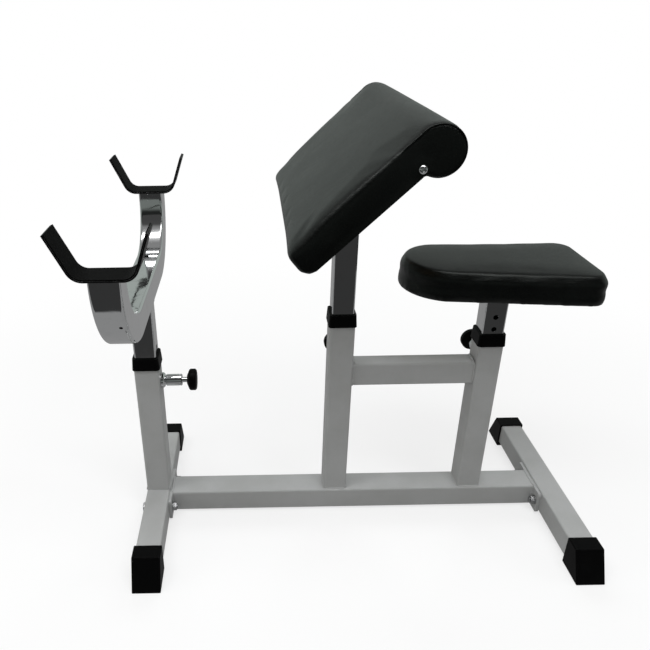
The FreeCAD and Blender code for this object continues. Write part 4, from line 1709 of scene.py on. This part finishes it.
@dataclass
class Studio:
    """Pale floor, soft light, grey cards for reflections, and the camera.

    The spans are places in metres between which a card's level changes.
    """

    eye: Triple = (-0.192522, -1.189916, 1.016298)
    yaw: float = 0.0042956
    pitch: float = 0.4853403
    roll: float = -0.0155610
    lens: float = 36.430
    sensor: float = 36.0
    shift: Span = (0.10455, 0.04327)
    clip: Span = (0.05, 200.0)
    ambient: float = 0.30
    ambient_tint: Colour = (1.0, 0.99, 0.955)
    floor_reach: float = 30.0
    floor_drop: float = 0.0002
    floor_bounce: Colour = (0.45, 0.45, 0.45)
    floor_pale: Colour = (0.92, 0.92, 0.92)
    floor_white: float = 0.7
    floor_far: Span = (0.75, 1.7)
    surround_radius: float = 4.5
    surround_height: float = 3.0
    ground_lift: float = 0.0004
    ground_dark: float = 0.04
    ground_rise: float = 0.26
    ground_edge: Span = (-0.73, -0.67)
    wall_dark: float = 0.02
    wall_low: float = 0.18
    wall_low_edge: Span = (2.4, 1.3)
    wall_back: float = 0.41
    wall_back_edge: Span = (-1.5, 0.5)
    wall_fade: float = 0.45
    wall_fade_edge: Span = (2.5, 3.0)
    wall_tint: Colour = (0.94, 1.03, 0.975)
    ceiling_grey: float = 0.22
    ceiling_cloud: float = 0.1
    ceiling_cloud_size: float = 1.6
    ceiling_front: float = 0.25
    ceiling_edge: Span = (-1.8, -1.15)
    strip_skew: float = 0.5
    strip_left: Span = (-2.5, -1.8)
    strip_right: Span = (2.0, 1.3)
    strip_level: float = 8.4
    strip_front: Span = (-1.03, -0.58)
    strip_back: Span = (-0.16, -0.61)
    halo_level: float = 0.6
    halo_front: Span = (-1.6, -0.65)
    halo_back: Span = (0.45, -0.55)
    lamps: tuple[SoftBox, ...] = (
        SoftBox("overhead", (-0.2, -0.85, 2.5), 0.4, (3.0, 0.55), 46.0, (0.97, 0.985, 1.0)),
        SoftBox("back_soft", (0.1, 2.2, 1.9), 0.3, (2.4, 1.0), 26.0, (0.95, 0.985, 1.0)),
        SoftBox("left_soft", (-2.3, -0.7, 0.9), 0.35, (1.2, 1.2), 8.0, (1.0, 0.99, 0.96)),
        SoftBox("right_soft", (2.4, -0.3, 0.9), 0.35, (1.2, 1.2), 7.0),
        SoftBox("front_fill", (-0.9, -2.6, 1.6), 0.35, (1.6, 1.2), 1.0, (1.0, 0.97, 0.9)),
    )

    def camera(self) -> None:
        """Camera at the photograph's angle."""
        level = math.cos(self.pitch)
        ahead = Vector((math.sin(self.yaw) * level, math.cos(self.yaw) * level, -math.sin(self.pitch)))
        right = Vector((math.cos(self.yaw), -math.sin(self.yaw), 0.0))
        up = right.cross(ahead)
        across = right * math.cos(self.roll) + up * math.sin(self.roll)
        above_it = up * math.cos(self.roll) - right * math.sin(self.roll)
        turn = Matrix((across, above_it, -ahead)).transposed().to_4x4()
        lens = bpy.data.cameras.new("camera")
        lens.sensor_width = self.sensor
        lens.lens = self.lens
        lens.shift_x, lens.shift_y = self.shift
        lens.clip_start, lens.clip_end = self.clip
        camera = link("camera", lens)
        camera.matrix_world = Matrix.Translation(self.eye) @ turn
        bpy.context.scene.camera = camera

    def seen(self, shade: Shade) -> Sock:
        """Tells rays that look from light that bounces.

        Args:
            shade: The node tree.

        Returns:
            1 for rays from the camera, from gloss and through glass, and 0 for other light.
        """
        kinds = ("Is Camera Ray", "Is Glossy Ray", "Is Transmission Ray")
        camera, gloss, glass = [shade.node("ShaderNodeLightPath", out=kind) for kind in kinds]
        return (camera + gloss + glass).clamp()

    def sky(self) -> None:
        """White surround that lights the bench softly."""
        world = bpy.data.worlds.new("studio")
        world.use_nodes = True
        shade = Shade(world.node_tree)
        soft, white = [
            shade.node("ShaderNodeBackground", None, {"Color": (*colour, 1.0), "Strength": strength})
            for colour, strength in ((self.ambient_tint, self.ambient), (WHITE, 1.0))
        ]
        both = shade.node("ShaderNodeMixShader", None, {0: self.seen(shade), 1: soft, 2: white})
        shade.node("ShaderNodeOutputWorld", None, {"Surface": both})
        bpy.context.scene.world = world

    def stage_piece(
        self, name: str, shape: bmesh.types.BMesh, material: bpy.types.Material,
    ) -> bpy.types.Object:
        """Settles a piece of the studio, which isn't part of the bench.

        Args:
            name: The piece's name.
            shape: Its mesh, which is freed here.
            material: Its material.

        Returns:
            The piece.
        """
        mesh = mesh_from(name, shape)
        mesh.materials.append(material)
        piece = link(name, mesh)
        return piece

    def floor(self) -> None:
        """White floor that keeps the bench's shadow near it."""
        material, shade = new_material("white_floor")
        far = shade.vector("LENGTH", {0: shade.place()}, "Value").step(*self.floor_far)
        bounce, pale = [
            shade.node("ShaderNodeBsdfDiffuse", None, {"Color": (*colour, 1.0)})
            for colour in (self.floor_bounce, self.floor_pale)
        ]
        white = shade.node("ShaderNodeEmission", None, {"Color": (*WHITE, 1.0), "Strength": 1.0})
        share = self.floor_white + (1 - self.floor_white) * far
        shown = shade.node("ShaderNodeMixShader", None, {0: share, 1: pale, 2: white})
        both = shade.node("ShaderNodeMixShader", None, {0: self.seen(shade), 1: bounce, 2: shown})
        shade.node("ShaderNodeOutputMaterial", None, {"Surface": both})
        shape = bmesh.new()
        bmesh.ops.create_grid(shape, x_segments=8, y_segments=8, size=self.floor_reach)
        bmesh.ops.translate(shape, verts=shape.verts, vec=(0, 0, -self.floor_drop))
        self.stage_piece("floor", shape, material)

    def ground_level(self, shade: Shade) -> Sock:
        """Grey level of the ground card, which is dark in front of the bench."""
        near = shade.part(shade.place(), Axis.Y).step(*self.ground_edge)
        return self.ground_dark + self.ground_rise * near

    def wall_level(self, shade: Shade) -> Sock:
        """Grey level of the wall card: a low band in front, and a pale back that fades at its top.

        Args:
            shade: The card's node tree.

        Returns:
            The level.
        """
        here = shade.place()
        back = shade.part(here, Axis.Y).step(*self.wall_back_edge)
        height = shade.part(here, Axis.Z)
        low = height.step(*self.wall_low_edge) * (1 - back)
        top = 1 - self.wall_fade * height.step(*self.wall_fade_edge)
        return self.wall_dark + self.wall_low * low + self.wall_back * back * top

    def ceiling_level(self, shade: Shade) -> Sock:
        """Grey level of the ceiling card: cloudy, dark in front, with a bright strip and its halo.

        Args:
            shade: The card's node tree.

        Returns:
            The level.
        """
        here = shade.place()
        across, along = shade.part(here, Axis.X), shade.part(here, Axis.Y)
        clouds = self.ceiling_grey + self.ceiling_cloud * shade.noise(here, self.ceiling_cloud_size, 1.0)
        front = self.ceiling_front + (1 - self.ceiling_front) * along.step(*self.ceiling_edge)
        skew = along + self.strip_skew * across
        span = across.step(*self.strip_left) * across.step(*self.strip_right)
        halo = skew.step(*self.halo_front) * skew.step(*self.halo_back)
        strip = skew.step(*self.strip_front) * skew.step(*self.strip_back)
        return clouds * front + (self.halo_level * halo + self.strip_level * strip) * span

    def card(
        self, name: str, shape: bmesh.types.BMesh, level: Callable[[Shade], Sock], tint: Colour = WHITE,
    ) -> None:
        """Puts up a card that shows in gloss alone, at its own level whatever the light.

        Args:
            name: The card's name.
            shape: Its mesh, which is freed here.
            level: Gives its grey level for a node tree.
            tint: Its tint.
        """
        material, shade = new_material(name)
        colour = shade.vector("SCALE", {0: tint, "Scale": level(shade)})
        glow = shade.node("ShaderNodeEmission", None, {"Color": colour, "Strength": 1.0})
        shade.node("ShaderNodeOutputMaterial", None, {"Surface": glow})
        card = self.stage_piece(name, shape, material)
        card.visible_camera = card.visible_diffuse = card.visible_shadow = False
        card.visible_transmission = card.visible_volume_scatter = False

    def cards(self) -> None:
        """Grey ground, walls and ceiling that the chrome and vinyl mirror."""
        reach, height = self.surround_radius, self.surround_height
        ground, walls, ceiling = bmesh.new(), bmesh.new(), bmesh.new()
        bmesh.ops.create_grid(ground, x_segments=2, y_segments=2, size=reach)
        bmesh.ops.translate(ground, verts=ground.verts, vec=(0, 0, self.ground_lift))
        bmesh.ops.create_cone(
            walls, cap_ends=False, segments=64, radius1=reach, radius2=reach, depth=height,
            matrix=Matrix.Translation((0, 0, height / 2)),
        )
        bmesh.ops.create_circle(
            ceiling, cap_ends=True, segments=64, radius=reach, matrix=Matrix.Translation((0, 0, height))
        )
        for shape in (walls, ceiling):
            bmesh.ops.reverse_faces(shape, faces=shape.faces)
        self.card("ground_card", ground, self.ground_level)
        self.card("wall_card", walls, self.wall_level, self.wall_tint)
        self.card("ceiling_card", ceiling, self.ceiling_level)

    def build(self) -> None:
        """Puts up the studio."""
        bpy.context.scene.view_settings.view_transform = "Standard"
        self.camera()
        self.sky()
        self.floor()
        self.cards()
        for lamp in self.lamps:
            lamp.build()


def main() -> None:
    """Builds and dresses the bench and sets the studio."""
    logging.basicConfig(level=logging.INFO, format="%(message)s")
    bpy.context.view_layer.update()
    for assembly in (BaseFrame(), BarRack(), ArmRest(), Seat()):
        assembly.build()
        assembly.dress()
    for name in ("rack", "arm", "seat"):
        PullPin(name).dress()
    Studio().build()


if __name__ == "__main__":
    main()
